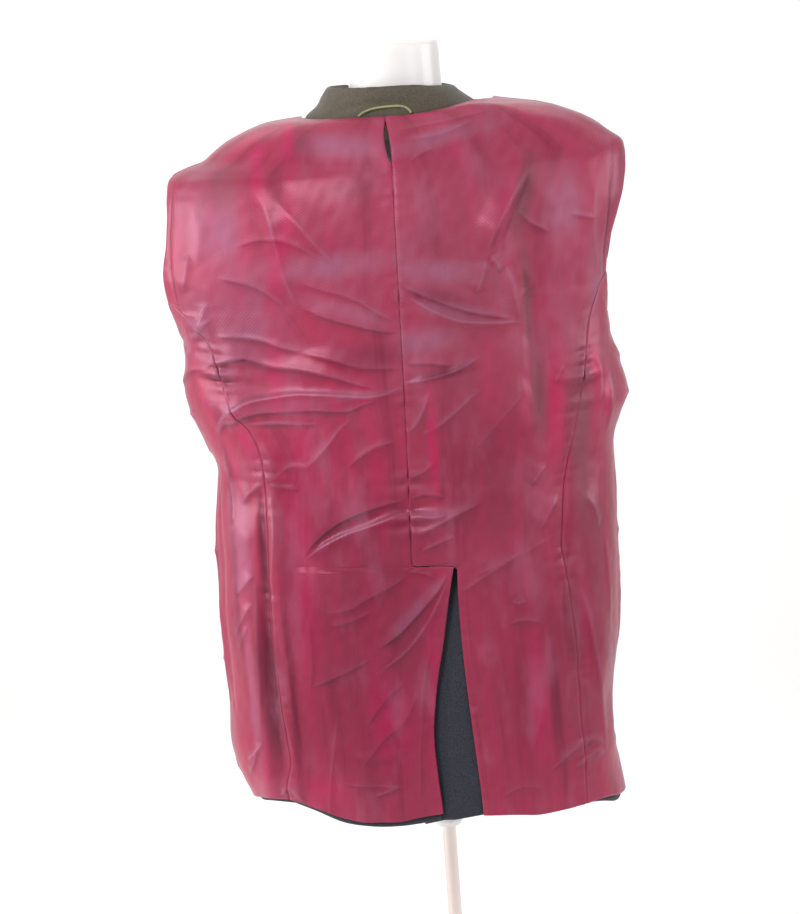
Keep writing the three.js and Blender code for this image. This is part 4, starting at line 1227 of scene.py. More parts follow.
# -------------------------------------------------------------------------------------- the creases
# Lines are places (u, z) in millimetres on the hanging cloth, then height and the two widths.
BACK_CREASES: tuple[Crease, ...] = (
    # Left shoulder and armhole.
    Crease(((-122, 1295), (-134, 1331), (-138, 1358), (-145, 1393), (-155, 1418)), 2.8, (18, 9)),
    Crease(((-138, 1412), (-114, 1383), (-95, 1359), (-79, 1341)), 1.3, (6, 6)),
    Crease(((-185, 1362), (-158, 1369), (-134, 1368), (-113, 1360), (-95, 1348)), 1.5, (7, 4)),
    Crease(((-206, 1330), (-184, 1326), (-167, 1321), (-152, 1313), (-142, 1304), (-134, 1297)),
           2.2, (10, 4)),
    Crease(((-246, 1312), (-240, 1335), (-236, 1356)), 1.8, (7, 7)),
    Crease(((-229, 1340), (-222, 1372), (-226, 1402)), 1.4, (9, 9), Crest.ROUND),
    Crease(((-268, 1260), (-240, 1266), (-216, 1286)), 2.2, (8, 5)),
    Crease(((-236, 1262), (-228, 1284), (-219, 1304)), 1.8, (4, 9)),
    # Long drags from the left side seam towards the centre.
    Crease(((-116, 1322), (-64, 1304), (-31, 1282), (-15, 1274)), 2.2, (16, 5)),
    Crease(((-118, 1296), (-96, 1286), (-70, 1277), (-38, 1267), (-14, 1263)), 3.4, (20, 4)),
    Crease(((-213, 1265), (-192, 1266), (-173, 1264), (-157, 1260), (-143, 1254), (-120, 1247)),
           2.8, (8, 4)),
    Crease(((-124, 1248), (-91, 1239), (-65, 1230), (-47, 1227), (-14, 1225)), 2.4, (14, 5)),
    Crease(((-256, 1225), (-238, 1228), (-192, 1242), (-175, 1241), (-153, 1233), (-127, 1230),
            (-101, 1224), (-84, 1219), (-63, 1211), (-41, 1205)), 3.4, (12, 4)),
    Crease(((-240, 1154), (-212, 1181), (-202, 1185), (-182, 1195), (-156, 1200), (-129, 1203),
            (-94, 1201), (-59, 1197), (-37, 1198), (-10, 1206)), 3.4, (4, 12)),
    Crease(((-238, 1147), (-219, 1169), (-204, 1173), (-188, 1181), (-171, 1185), (-152, 1186),
            (-113, 1187), (-77, 1184), (-59, 1190), (-38, 1194)), 3.2, (9, 4)),
    Crease(((-188, 1171), (-150, 1173), (-108, 1170)), 3.0, (4, 4)),
    Crease(((-164, 1110), (-146, 1123), (-134, 1124), (-124, 1124), (-112, 1134), (-97, 1150),
            (-86, 1164), (-71, 1176)), 2.6, (5, 9)),
    Crease(((-82, 1121), (-67, 1132), (-48, 1142), (-28, 1147)), 2.4, (7, 6)),
    Crease(((-170, 1104), (-152, 1101), (-134, 1099)), 1.4, (4, 4)),
    # The lens of a fold that falls from the centre seam.
    Crease(((-142, 1016), (-126, 1038), (-105, 1055), (-80, 1068), (-54, 1076), (-17, 1083)),
           2.4, (12, 3)),
    Crease(((-130, 1026), (-110, 1045), (-80, 1060), (-40, 1068)), -1.5, (7, 7), Crest.ROUND),
    Crease(((-142, 1014), (-118, 1033), (-95, 1044), (-66, 1054), (-18, 1070)), 2.4, (3, 14)),
    # Upright folds beside the left side seam.
    Crease(((-163, 776), (-167, 811), (-174, 869), (-174, 927), (-172, 996), (-166, 1064),
            (-169, 1112)), 3.2, (6, 6)),
    Crease(((-184, 800), (-186, 870), (-186, 960), (-182, 1060), (-178, 1110)), -3.0, (8, 8),
           Crest.ROUND),
    Crease(((-154, 790), (-158, 850), (-162, 920), (-160, 980)), -2.4, (6, 9), Crest.ROUND),
    Crease(((-213, 813), (-205, 875), (-199, 946), (-196, 1004)), 2.0, (6, 6)),
    Crease(((-142, 871), (-137, 906), (-137, 956)), 1.8, (14, 4)),
    Crease(((-235, 1090), (-226, 1060), (-232, 1120), (-226, 1150)), 1.4, (5, 5)),
    Crease(((-216, 1076), (-200, 1090), (-183, 1100), (-170, 1108)), 1.8, (8, 4)),
    Crease(((-232, 974), (-216, 984), (-198, 1002)), 1.8, (8, 4)),
    Crease(((-240, 924), (-224, 944), (-204, 968)), 1.8, (9, 4)),
    Crease(((-237, 908), (-213, 943)), 1.2, (6, 4)),
    Crease(((-139, 878), (-107, 892), (-70, 910)), 1.8, (10, 4)),
    Crease(((-119, 961), (-92, 965), (-72, 976), (-38, 992), (-24, 1003)), 2.2, (12, 6)),
    Crease(((-116, 947), (-91, 952), (-67, 962)), 1.5, (8, 5)),
    Crease(((-63, 921), (-38, 938), (-14, 961), (6, 982), (18, 1000)), 3.4, (9, 4)),
    Crease(((-66, 892), (-30, 919), (-7, 947), (6, 969), (18, 992)), 2.8, (4, 9)),
    Crease(((-26, 1004), (-8, 1001), (6, 996)), 0.9, (3, 3)),
    Crease(((-80, 752), (-51, 762)), 1.8, (6, 4)),
    Crease(((-132, 716), (-128, 760), (-120, 806), (-112, 850)), 2.2, (5, 16)),
    Crease(((-92, 786), (-66, 816), (-40, 838), (-22, 872)), 2.0, (14, 5)),
    Crease(((-84, 830), (-60, 862), (-34, 884)), 1.8, (12, 4)),
    Crease(((-30, 740), (-26, 800), (-18, 870), (-6, 920)), 1.8, (10, 4)),
    Crease(((-117, 769), (-81, 766), (-42, 760)), 1.6, (9, 5)),
    Crease(((-100, 800), (-70, 797), (-36, 806)), 1.2, (8, 8), Crest.ROUND),
    Crease(((-188, 747), (-174, 759), (-165, 755), (-157, 741)), 2.4, (5, 5)),
    Crease(((-243, 780), (-226, 790), (-211, 807)), 2.0, (5, 4)),
    Crease(((-242, 762), (-230, 776), (-219, 799)), 2.0, (5, 5)),
    # Right shoulder: a long diagonal from the pad, a deep trough below it and a fan.
    Crease(((84, 1341), (90, 1356), (100, 1374), (110, 1390), (121, 1406), (133, 1424)),
           3.6, (14, 6)),
    Crease(((96, 1330), (112, 1364), (126, 1394), (136, 1420)), -3.0, (7, 11), Crest.ROUND),
    Crease(((126, 1150), (129, 1190), (126, 1240), (127, 1285), (120, 1325)), -3.0, (8, 9),
           Crest.ROUND),
    Crease(((121, 1382), (131, 1368), (144, 1360), (153, 1354)), 1.8, (5, 4)),
    Crease(((70, 1297), (77, 1316), (82, 1334)), 1.8, (9, 5)),
    Crease(((98, 1318), (93, 1328), (87, 1338)), 1.6, (4, 5)),
    Crease(((115, 1264), (110, 1296), (102, 1326)), 1.6, (8, 5)),
    Crease(((160, 1300), (156, 1340), (166, 1382)), 1.6, (10, 10), Crest.ROUND),
    Crease(((176, 1372), (192, 1366), (204, 1362)), 1.0, (4, 3)),
    Crease(((205, 1300), (201, 1350), (206, 1400)), 1.4, (9, 5)),
    Crease(((-12, 1314), (7, 1304), (27, 1294), (58, 1281), (86, 1273), (112, 1265)),
           2.8, (12, 3)),
    Crease(((-5, 1300), (26, 1281), (57, 1268), (118, 1262)), 2.6, (3, 11)),
    Crease(((-4, 1472), (42, 1476), (95, 1484)), 1.6, (5, 7)),
    Crease(((0, 1462), (40, 1464), (80, 1476)), 1.2, (6, 6)),
    Crease(((8, 1440), (22, 1448), (36, 1452)), 0.9, (5, 3)),
    Crease(((-10, 1229), (14, 1228), (38, 1224)), 2.2, (13, 3)),
    Crease(((-18, 1207), (14, 1211), (41, 1217), (70, 1231)), 3.0, (4, 12)),
    Crease(((-17, 1153), (-5, 1163), (7, 1184), (13, 1199)), 2.2, (7, 4)),
    Crease(((-2, 1152), (12, 1156), (32, 1168), (68, 1197)), 1.7, (5, 6)),
    Crease(((-16, 1105), (0, 1112), (14, 1122)), 1.3, (6, 4)),
    Crease(((-16, 1083), (0, 1087), (22, 1083)), 1.8, (5, 4)),
    Crease(((-15, 1065), (6, 1061), (22, 1064)), 1.8, (6, 4)),
    Crease(((-14, 1043), (6, 1051), (30, 1062), (60, 1074)), 2.8, (8, 6)),
    Crease(((-9, 1026), (10, 1034), (30, 1041)), 2.0, (5, 5)),
    Crease(((44, 993), (79, 1005), (117, 1020), (137, 1027)), 1.5, (9, 7)),
    Crease(((53, 1127), (70, 1145), (112, 1186)), 1.2, (7, 7)),
    Crease(((114, 1085), (123, 1096), (132, 1106)), 1.8, (6, 3)),
    Crease(((120, 1036), (132, 1052), (144, 1070)), 1.9, (7, 4)),
    Crease(((147, 1191), (153, 1202), (159, 1212)), 1.3, (5, 3)),
    Crease(((118, 1130), (112, 1170), (110, 1210)), 1.4, (8, 8), Crest.ROUND),
    Crease(((28, 975), (53, 990), (82, 1005), (98, 1015)), 1.8, (5, 7)),
    Crease(((80, 937), (98, 939), (117, 933)), 1.2, (4, 4)),
    Crease(((84, 962), (92, 958), (102, 960)), 0.9, (4, 3)),
    # The right side: the puckered seam's end, long ridges and waves of the hem.
    Crease(((153, 869), (150, 918), (145, 953), (149, 982)), 2.2, (4, 8)),
    Crease(((140, 880), (138, 930), (140, 976)), 1.3, (6, 5)),
    Crease(((160, 1140), (156, 1060), (150, 985)), -2.4, (8, 10), Crest.ROUND),
    Crease(((168, 1073), (178, 1060), (189, 1046), (197, 1020)), 2.4, (5, 7)),
    Crease(((197, 753), (190, 803), (181, 866), (173, 924), (164, 974)), 3.0, (6, 8)),
    Crease(((208, 1010), (214, 960), (210, 900)), 1.6, (7, 5)),
    Crease(((112, 760), (147, 781), (174, 783), (196, 768)), 2.4, (7, 5)),
    Crease(((143, 758), (174, 768), (193, 759)), 2.2, (4, 6)),
    Crease(((40, 800), (30, 830), (44, 850)), 1.0, (5, 5)),
    Crease(((60, 742), (84, 752), (108, 748)), 1.2, (7, 5)),
    Crease(((200, 1160), (206, 1190), (200, 1215)), 2.0, (5, 5)),
    Crease(((215, 1120), (219, 1160), (226, 1196)), 2.4, (4, 6)),
    # The armholes' sewn edges, just inside the outline.
    Crease(((209, 1278), (214, 1327), (221, 1375), (227, 1412), (229, 1442)), -1.6, (1.5, 1.5)),
    Crease(((-251, 1286), (-256, 1318), (-258, 1348), (-253, 1399), (-246, 1432)),
           -1.5, (1.5, 1.5)),
)

# The sides and the fronts, on the left; the right side mirrors them, moved a little.
ROUND_CREASES: tuple[Crease, ...] = (
    Crease(((-330, 1196), (-300, 1208), (-268, 1222), (-240, 1228)), 2.6, (10, 4)),
    Crease(((-340, 1150), (-300, 1168), (-262, 1176)), 2.4, (4, 9)),
    Crease(((-350, 1100), (-310, 1120), (-270, 1128)), 2.0, (9, 4)),
    Crease(((-262, 820), (-266, 920), (-262, 1020), (-268, 1110)), -2.6, (8, 9), Crest.ROUND),
    Crease(((-284, 790), (-280, 900), (-288, 1010), (-282, 1090)), 2.4, (7, 5)),
    Crease(((-330, 980), (-300, 1004), (-272, 1018)), 1.8, (8, 4)),
    Crease(((-326, 860), (-302, 880), (-276, 890)), 1.8, (8, 4)),
    Crease(((-402, 1214), (-372, 1226), (-344, 1222), (-316, 1236)), 2.6, (11, 4)),
    Crease(((-424, 1150), (-388, 1170), (-350, 1176), (-320, 1192)), 2.8, (4, 11)),
    Crease(((-410, 1086), (-372, 1108), (-336, 1114)), 2.2, (8, 4)),
    Crease(((-374, 800), (-378, 900), (-370, 1010), (-376, 1100)), -3.0, (9, 9), Crest.ROUND),
    Crease(((-396, 790), (-392, 890), (-398, 990)), 2.4, (6, 7)),
    Crease(((-350, 780), (-346, 870), (-352, 960)), 2.0, (7, 5)),
    Crease(((-432, 940), (-402, 962), (-372, 968)), 1.8, (8, 4)),
    Crease(((-440, 860), (-410, 884), (-384, 890)), 1.6, (8, 4)),
    Crease(((-392, 1300), (-380, 1350), (-366, 1400), (-352, 1436)), 2.4, (9, 7)),
    Crease(((-420, 1290), (-400, 1330), (-384, 1370)), 1.6, (6, 8)),
    Crease(((-430, 750), (-396, 762), (-360, 752)), 2.0, (6, 5)),
    Crease(((-340, 748), (-312, 760), (-280, 750)), 2.0, (6, 5)),
)


def both_sides(
    middle: tuple[float, float], half: tuple[float, float], strength: float
) -> tuple[Patch, Patch]:
    """The same patch on the left and on the right.

    Args:
        middle: The right patch's place.
        half: Half its width and height.
        strength: Its share of the tone.

    Returns:
        Both patches.
    """
    return Patch((-middle[0], middle[1]), half, strength), Patch(middle, half, strength)


# Painted light and shade over (u, z): mauve patches are painted sheen, pink ones painted
# highlights, ash ones painted shade in troughs and down the right side with a faint painted sheen
# over the upper right, and deep ones painted shade in folds, with two broad ones that paint the
# back darker towards the hem.
PAINTED_LIGHT_AND_SHADE_PATCHES: dict[PaintedLightAndShade, tuple[Patch, ...]] = {
    PaintedLightAndShade.MAUVE: (
        Patch((-62, 1460), (48, 13), 0.95, -4),
        Patch((-205, 1385), (30, 46), 0.85),
        Patch((-92, 1338), (92, 15), 0.80, 2),
        Patch((-178, 1290), (48, 62), 0.55),
        Patch((30, 1370), (150, 100), 0.20),
        Patch((40, 1230), (90, 60), 0.16),
        Patch((45, 1462), (58, 10), 0.75, 12),
        Patch((168, 1386), (22, 40), 0.75),
        Patch((38, 1324), (50, 14), 0.85, -8),
        Patch((40, 1282), (40, 9), 0.60, -14),
        Patch((14, 1252), (40, 15), 0.80),
        Patch((-70, 1290), (60, 10), 0.60, -18),
        Patch((-214, 1030), (13, 62), 0.60),
        Patch((-216, 870), (8, 100), 0.55),
        Patch((-228, 1290), (22, 40), 0.60),
        Patch((-120, 1195), (110, 5), 0.35, 4),
        Patch((200, 1300), (12, 60), 0.60),
        Patch((-20, 962), (40, 6), 0.70, 42),
        Patch((6, 1060), (20, 12), 0.50),
        *both_sides((330, 1180), (50, 160), 0.45),
        *both_sides((395, 1360), (50, 50), 0.60),
    ),
    PaintedLightAndShade.PINK: (
        Patch((-155, 1438), (8, 30), 0.60),
        Patch((-118, 1470), (6, 26), 0.80),
        Patch((-136, 1350), (9, 60), 0.60, -14),
        Patch((-150, 1225), (8, 44), 0.50),
        Patch((-128, 1140), (12, 60), 0.55),
        Patch((12, 1150), (5, 56), 0.95),
        Patch((76, 1200), (12, 44), 0.35),
        Patch((106, 1385), (22, 34), 0.35, -50),
        Patch((108, 846), (10, 66), 0.95),
        Patch((-138, 1010), (13, 110), 0.75),
        Patch((-54, 842), (24, 56), 0.95, 4),
        Patch((-6, 900), (6, 96), 0.50),
        Patch((196, 1205), (8, 17), 0.80),
        Patch((213, 1170), (5, 34), 0.80, -8),
        Patch((168, 930), (8, 60), 0.45),
        Patch((148, 1150), (8, 90), 0.40),
        Patch((-128, 760), (24, 18), 0.60),
        Patch((-196, 775), (16, 30), 0.45),
        *both_sides((350, 1000), (10, 160), 0.60),
        *both_sides((420, 900), (12, 120), 0.50),
    ),
    PaintedLightAndShade.ASH: (
        Patch((128, 1396), (11, 42), 0.90, -16),
        Patch((124, 1285), (6.5, 66), 0.85),
        Patch((130, 1188), (8, 62), 0.85),
        Patch((176, 1110), (15, 116), 0.80),
        Patch((190, 1000), (12, 90), 0.50),
        Patch((205, 880), (14, 70), 0.45),
        Patch((-196, 1425), (26, 24), 0.50),
        Patch((-60, 1415), (34, 10), 0.35),
        Patch((150, 930), (10, 50), 0.50),
        Patch((230, 1000), (12, 200), 0.40),
        Patch((-232, 1000), (8, 120), 0.35),
        Patch((66, 1250), (66, 170), 0.24),
        Patch((90, 1080), (50, 80), 0.24),
    ),
    PaintedLightAndShade.DEEP: (
        Patch((-116, 866), (15, 66), 0.55, 4),
        Patch((-190, 860), (17, 112), 1.0, -1),
        Patch((-183, 1020), (8, 90), 0.80),
        Patch((-160, 850), (5, 110), 0.60),
        Patch((-110, 790), (26, 40), 0.45),
        Patch((-66, 1030), (46, 60), 0.45, 14),
        Patch((60, 1100), (60, 90), 0.35),
        Patch((88, 860), (12, 90), 0.45),
        Patch((126, 840), (8, 80), 0.65),
        Patch((30, 1298), (36, 7), 0.35, -16),
        Patch((30, 1216), (34, 6), 0.60, 8),
        Patch((-90, 1056), (48, 6), 0.35, 20),
        Patch((-70, 910), (100, 200), 0.50),
        Patch((120, 880), (90, 160), 0.36),
        Patch((-196, 1236), (44, 60), 0.25),
        Patch((-150, 1080), (60, 60), 0.25),
        Patch((-228, 1010), (5, 150), 0.40),
        Patch((-50, 1240), (50, 14), 0.40),
        Patch((-104, 1460), (14, 20), 0.35),
        *both_sides((300, 930), (14, 140), 0.60),
    ),
}

# Small moves of the hanging cloth: middle, reach, move.
NUDGES: tuple[Nudge, ...] = (
    Nudge((-266, 0, 1345), (34, 90, 62), (-9.0, 0, 0)),
    Nudge((246, 0, 1388), (30, 90, 48), (7.0, 0, 0)),
    Nudge((242, 0, 1240), (40, 90, 42), (-2.8, 0, 0)),
    Nudge((225, 0, 1000), (40, 90, 90), (-3.6, 0, 0)),
    Nudge((222, 0, 872), (40, 90, 42), (-2.6, 0, 0)),
    Nudge((-230, 0, 950), (40, 90, 130), (3.0, 0, 0)),
    Nudge((210, 0, 815), (40, 90, 42), (-4.2, 0, 0)),
    Nudge((-246, 0, 712), (46, 110, 44), (7.5, 0, 1.0)),
    Nudge((-215, -90, 680), (50, 130, 40), (0, 0, 6.0)),
    Nudge((-70, -160, 680), (70, 80, 36), (0, 0, -5.5)),
    Nudge((195, -80, 700), (42, 110, 36), (0, 0, 3.4)),
    Nudge((-238, 0, 1240), (40, 90, 50), (2.8, 0, 0)),
)

# The lining's left half: the pleat below the neck nearly shuts, the centre seam ends square.
LEFT_NUDGES: tuple[Nudge, ...] = (
    Nudge((-17.5, -85, 1462), (3.4, 60, 22), (1.5, 0, 0)),
    Nudge((-17, -150, 1012), (20, 90, 10), (0, 0, -3.4)),
    Nudge((-222, -30, 1449), (14, 60, 10), (0, 0, -3.0)),
    Nudge((-130, -110, 696), (130, 140, 16), (0, 0, 3.0)),
)

# The lining's right half: the centre seam's corner above the vent is drawn in.
RIGHT_NUDGES: tuple[Nudge, ...] = (
    Nudge((-16.5, -150, 1019), (5.0, 90, 12), (-2.4, 0, 0)),
    Nudge((-17, -150, 1012), (20, 90, 10), (0, 0, -3.4)),
    Nudge((130, -110, 696), (120, 140, 12), (0, 0, 1.0)),
)

# The wool hangs a little below the lining at the left half of the hem.
SHELL_NUDGES: tuple[Nudge, ...] = (
    Nudge((-130, -60, 690), (150, 170, 26), (0, 0, -3.2)),
)

# The facings' upper edges turn down behind the neckline.
FACING_NUDGES: tuple[Nudge, ...] = (
    Nudge((96, 10, 1492), (40, 60, 22), (0, 0, -9.0)),
    Nudge((-96, 0, 1486), (40, 60, 22), (0, 0, -6.0)),
)


def mirrored(
    creases: Sequence[Crease], drop: float = 14, share: float = 0.9
) -> tuple[Crease, ...]:
    """The same creases on the other side of x = 0, moved a little.

    Args:
        creases: The left side's creases.
        drop: How much lower they lie.
        share: Their height, as a share of the left ones'.

    Returns:
        The right side's creases.
    """
    return tuple(
        Crease(
            tuple((-u, z - drop) for u, z in c.line[::-1]), c.height * share, c.widths, c.crest
        )
        for c in creases
    )


CLOTH_CREASES = (*BACK_CREASES, *ROUND_CREASES, *mirrored(ROUND_CREASES))


# --------------------------------------------------------------------------------------- the lining
@dataclass
class Lining:
    """The six lining panels that now lie outside."""

    back: Cut = Cut((0.30, 0.82), 0.19, 10)
    side: Cut = Cut((0.17, 0.68), 0.09, 4)
    front: Cut = Cut((0.26, 0.82), 0.14, 5)
    wall: float = 1.0
    back_cell: float = 1.6
    other_cell: float = 2.4
    seam_dip: float = 0.7
    close: float = 0.28
    rumples: tuple[Rumple, ...] = (Rumple(0.40, 66, 11), Rumple(0.13, 24, 12))
    left_seam: tuple[Pucker, ...] = (Pucker(1.3, 12, 23, 3, 1090, 1290), Pucker(0.3, 7, 19, 4))
    right_seam: tuple[Pucker, ...] = (Pucker(0.9, 11, 25, 5, 1100, 1290), Pucker(0.3, 7, 19, 6))
    centre_seam: tuple[Pucker, ...] = (Pucker(0.22, 6, 19, 7), Pucker(0.8, 14, 26, 8, 1020, 1130))

    def panel(self, node: str, cut: Cut, cell: float, **more: Any) -> Panel:
        """A lining panel with what all of them share.

        Args:
            node: The CAD node.
            cut: The panel's cut.
            cell: Width of its cells.
            **more: The panel's other fields.

        Returns:
            The panel.
        """
        return Panel(
            node, Finish.LINING, cut, self.wall, cell, dip=self.seam_dip, close=self.close,
            creases=CLOTH_CREASES, rumples=self.rumples, patches=PAINTED_LIGHT_AND_SHADE_PATCHES,
            nudges=LEFT_NUDGES if node.endswith("left") else RIGHT_NUDGES, **more,
        )

    def build(self) -> list[bpy.types.Object]:
        """Builds every lining panel.

        Returns:
            The pieces.
        """
        made = []
        for side, seam in (("left", self.left_seam), ("right", self.right_seam)):
            ends = (seam, self.centre_seam)
            first, last = ends if side == "left" else ends[::-1]
            back = self.panel(
                f"lining_back_{side}", self.back, self.back_cell,
                puckers={Edge.FIRST: first, Edge.LAST: last},
            )
            beside = self.panel(
                f"lining_side_{side}", self.side, self.other_cell,
                puckers=dict.fromkeys(Edge, seam), start=back.far_edge(),
            )
            front = self.panel(
                f"lining_front_{side}", self.front, self.other_cell,
                puckers=dict.fromkeys(Edge, seam), start=beside.far_edge(),
            )
            made += [panel.build() for panel in (back, beside, front)]
        return made


@dataclass
class WoolBody:
    """The wool shell's panels, the facings and the lapels."""

    back: Cut = Cut((0.27, 0.80), 0.15, 5)
    side: Cut = Cut((0.16, 0.66), 0.09, 4)
    front: Cut = Cut((0.36, 0.82), 0.21, 5)
    facing: Cut = Cut((0.17, 0.84), 0.07, 4)
    lapel: Cut = Cut((0.08, 0.32), 0.0135)
    wall: float = 1.6
    cell: float = 5.0
    facing_cell: float = 3.0
    sink: float = 1.6
    facing_dip: float = 0.4
    rumples: tuple[Rumple, ...] = (Rumple(0.2, 90, 41),)
    facing_rumples: tuple[Rumple, ...] = (Rumple(0.3, 80, 51),)

    def build(self) -> list[bpy.types.Object]:
        """Builds every wool panel of the body.

        Returns:
            The pieces.
        """
        made = []
        for side in ("left", "right"):
            for part, cut in (("back", self.back), ("side", self.side), ("front", self.front)):
                panel = Panel(
                    f"shell_{part}_{side}", Finish.WOOL, cut, self.wall, self.cell,
                    rumples=self.rumples, sink=self.sink, nudges=SHELL_NUDGES,
                )
                made.append(panel.build())
            facing = Panel(
                f"facing_{side}", Finish.WOOL, self.facing, self.wall, self.facing_cell,
                rumples=self.facing_rumples, dip=self.facing_dip, nudges=FACING_NUDGES,
            )
            made.append(facing.build())
            made.append(rounded_wool(f"lapel_{side}"))
        return made


@dataclass
class Sleeves:
    """Both sleeves, each a top and an under piece, hanging flat inside the body."""

    top: Cut = Cut((0.20, 0.64), 0.092)
    under: Cut = Cut((0.14, 0.53), 0.056)

    def build(self) -> list[bpy.types.Object]:
        """Builds the four sleeve pieces.

        Returns:
            The pieces.
        """
        return [
            rounded_wool(f"sleeve_{part}_{side}")
            for side in ("left", "right")
            for part, cut in (("top", self.top), ("under", self.under))
        ]


@dataclass
class VentUnderlap:
    """The wool underlap that shows in the open vent."""

    cut: Cut = Cut((0.095, 0.29), 0.026, 8)
    wall: float = 1.8
    cell: float = 2.0
    rumples: tuple[Rumple, ...] = (Rumple(0.2, 60, 61),)

    def build(self) -> list[bpy.types.Object]:
        """Builds the underlap.

        Returns:
            The piece in a list.
        """
        panel = Panel(
            "vent_underlap", Finish.WOOL, self.cut, self.wall, self.cell, rumples=self.rumples
        )
        return [panel.build()]


@dataclass
class Collar:
    """The turned collar that stands round the neck."""

    cut: Cut = Cut((0.46, 0.065), 0.0235)
    levels: int = 3
    side_depth: float = 30.0
    creases: tuple[Crease, ...] = (
        Crease(((-76, 1492), (-32, 1500), (0, 1500), (24, 1498)), -2.4, (4, 3), Crest.ROUND),
        Crease(((-70, 1496), (-30, 1504), (4, 1503), (28, 1500)), 1.8, (5, 2)),
        Crease(((-78, 1507), (-48, 1512), (-20, 1510), (34, 1509)), 1.7, (2, 5)),
        Crease(((20, 1497), (40, 1505), (58, 1501)), 1.0, (4, 4)),
        Crease(((-60, 1488), (-46, 1494), (-20, 1496)), 0.8, (4, 4)),
    )
    rumples: tuple[Rumple, ...] = (Rumple(0.45, 34, 71), Rumple(0.2, 14, 72))
    nudges: tuple[Nudge, ...] = (
        Nudge((-92, -10, 1498), (14, 40, 9), (4.0, 0, 0)),
        Nudge((-76, -10, 1516), (12, 40, 8), (-2.5, 0, 0)),
        Nudge((-56, -20, 1521), (8, 40, 6), (0, 0, 2.5)),
        Nudge((56, -30, 1508), (12, 40, 8), (0, 0, 2.0)),
        Nudge((-70, -50, 1486), (46, 50, 7), (0, 0, -3.0)),
    )

    def build(self) -> list[bpy.types.Object]:
        """Builds the collar.

        Returns:
            The piece in a list.
        """
        made = rounded_copy("collar", "collar-stand", self.levels)
        self._crumple(made)
        declare_cloth(made, Finish.COLLAR, "collar")
        return [made]

    def _crumple(self, made: bpy.types.Object) -> None:
        """Presses soft creases into the outer face, along its own normals.

        Args:
            made: The collar.
        """
        mesh = made.data
        points, normals = np.zeros((2, len(mesh.vertices) * 3))
        mesh.vertices.foreach_get("co", points)
        mesh.vertices.foreach_get("normal", normals)
        points, normals = points.reshape(-1, 3) / MM, normals.reshape(-1, 3)
        height = np.zeros(len(points))
        for part in (*self.creases, *self.rumples):
            height += part.heights(points[:, 0], points[:, 2])
        outside = smooth_step((normals * points)[:, :2].sum(axis=1) / self.side_depth)
        points += normals * (height * outside)[:, None]
        for nudge in self.nudges:
            points += nudge.moved(points)
        mesh.vertices.foreach_set("co", (points * MM).ravel())
        mesh.update()


@dataclass
class HangerLoop:
    """A loop of three twisted strands, sewn down at both ends."""

    path: tuple[tuple[float, float, float], ...] = (
        (-42, -69.3, 1487.8), (-37, -69.6, 1491.0), (-28, -70.5, 1494.2), (-14, -71.8, 1495.8),
        (2, -72.2, 1495.6), (10, -72.9, 1493.0), (14.5, -74.0, 1488.2),
    )
    strands: int = 3
    strand_radius: float = 0.62
    lay_radius: float = 0.66
    turns: float = 13.0
    sides: int = 7
    steps: int = 150

    def build(self) -> list[bpy.types.Object]:
        """Builds the loop.

        Returns:
            The piece in a list.
        """
        made = add_object("hanger-loop", self._strands())
        make_active(made)
        bpy.ops.object.mode_set(mode="EDIT")
        bpy.ops.mesh.select_all(action="SELECT")
        bpy.ops.mesh.normals_make_consistent(inside=False)
        bpy.ops.object.mode_set(mode="OBJECT")
        bpy.ops.object.shade_smooth()
        deselect()
        adopt(made, Finish.BRAID, "hanger_loop")
        return [made]

    def _strands(self) -> bpy.types.Mesh:
        """Lays closed strands round the loop's path.

        Returns:
            The mesh of all strands.
        """
        knots = np.arange(len(self.path), dtype=float)
        at = np.linspace(0, knots[-1], self.steps + 1)
        middle = spline(np.array(self.path, float), knots, at)
        along = np.gradient(middle, axis=0)
        along /= np.linalg.norm(along, axis=1, keepdims=True)
        side = np.cross(along, (0.0, -1.0, 0.0))
        side /= np.linalg.norm(side, axis=1, keepdims=True)
        out = np.cross(side, along)
        points: list[list[float]] = []
        faces: list[tuple[int, ...]] = []
        for strand in range(self.strands):
            start = len(points)
            turn = 2 * math.pi * (strand / self.strands + self.turns * at / knots[-1])
            lay = np.cos(turn)[:, None] * side + np.sin(turn)[:, None] * out
            line = middle + self.lay_radius * lay
            for k in range(self.steps + 1):
                for j in range(self.sides):
                    angle = 2 * math.pi * j / self.sides
                    ray = math.cos(angle) * side[k] + math.sin(angle) * out[k]
                    points.append(((line[k] + self.strand_radius * ray) * MM).tolist())
            for k in range(self.steps):
                for j in range(self.sides):
                    a, b = start + k * self.sides + j, start + k * self.sides + (j + 1) % self.sides
                    faces.append((a, b, b + self.sides, a + self.sides))
            end = start + self.steps * self.sides
            faces.append(tuple(range(start, start + self.sides))[::-1])
            faces.append(tuple(range(end, end + self.sides)))
        mesh = bpy.data.meshes.new("hanger-loop")
        mesh.from_pydata(points, [], faces)
        return mesh


@dataclass
class DressForm:
    """The smooth limbless form with its pole, socket and base."""

    def build(self) -> list[bpy.types.Object]:
        """Builds the form and dresses the stand's CAD nodes.

        Returns:
            The new pieces.
        """
        made = rounded_copy("dress_form", "form-torso")
        adopt(made, Finish.FORM, "dress_form")
        for node, finish in (
            ("form_socket", Finish.FORM),
            ("pole", Finish.POLE),
            ("base_plate", Finish.BASE),
            ("base_boss", Finish.BASE),
        ):
            dress(FRAME["nodes"][node], finish)
        return [made]


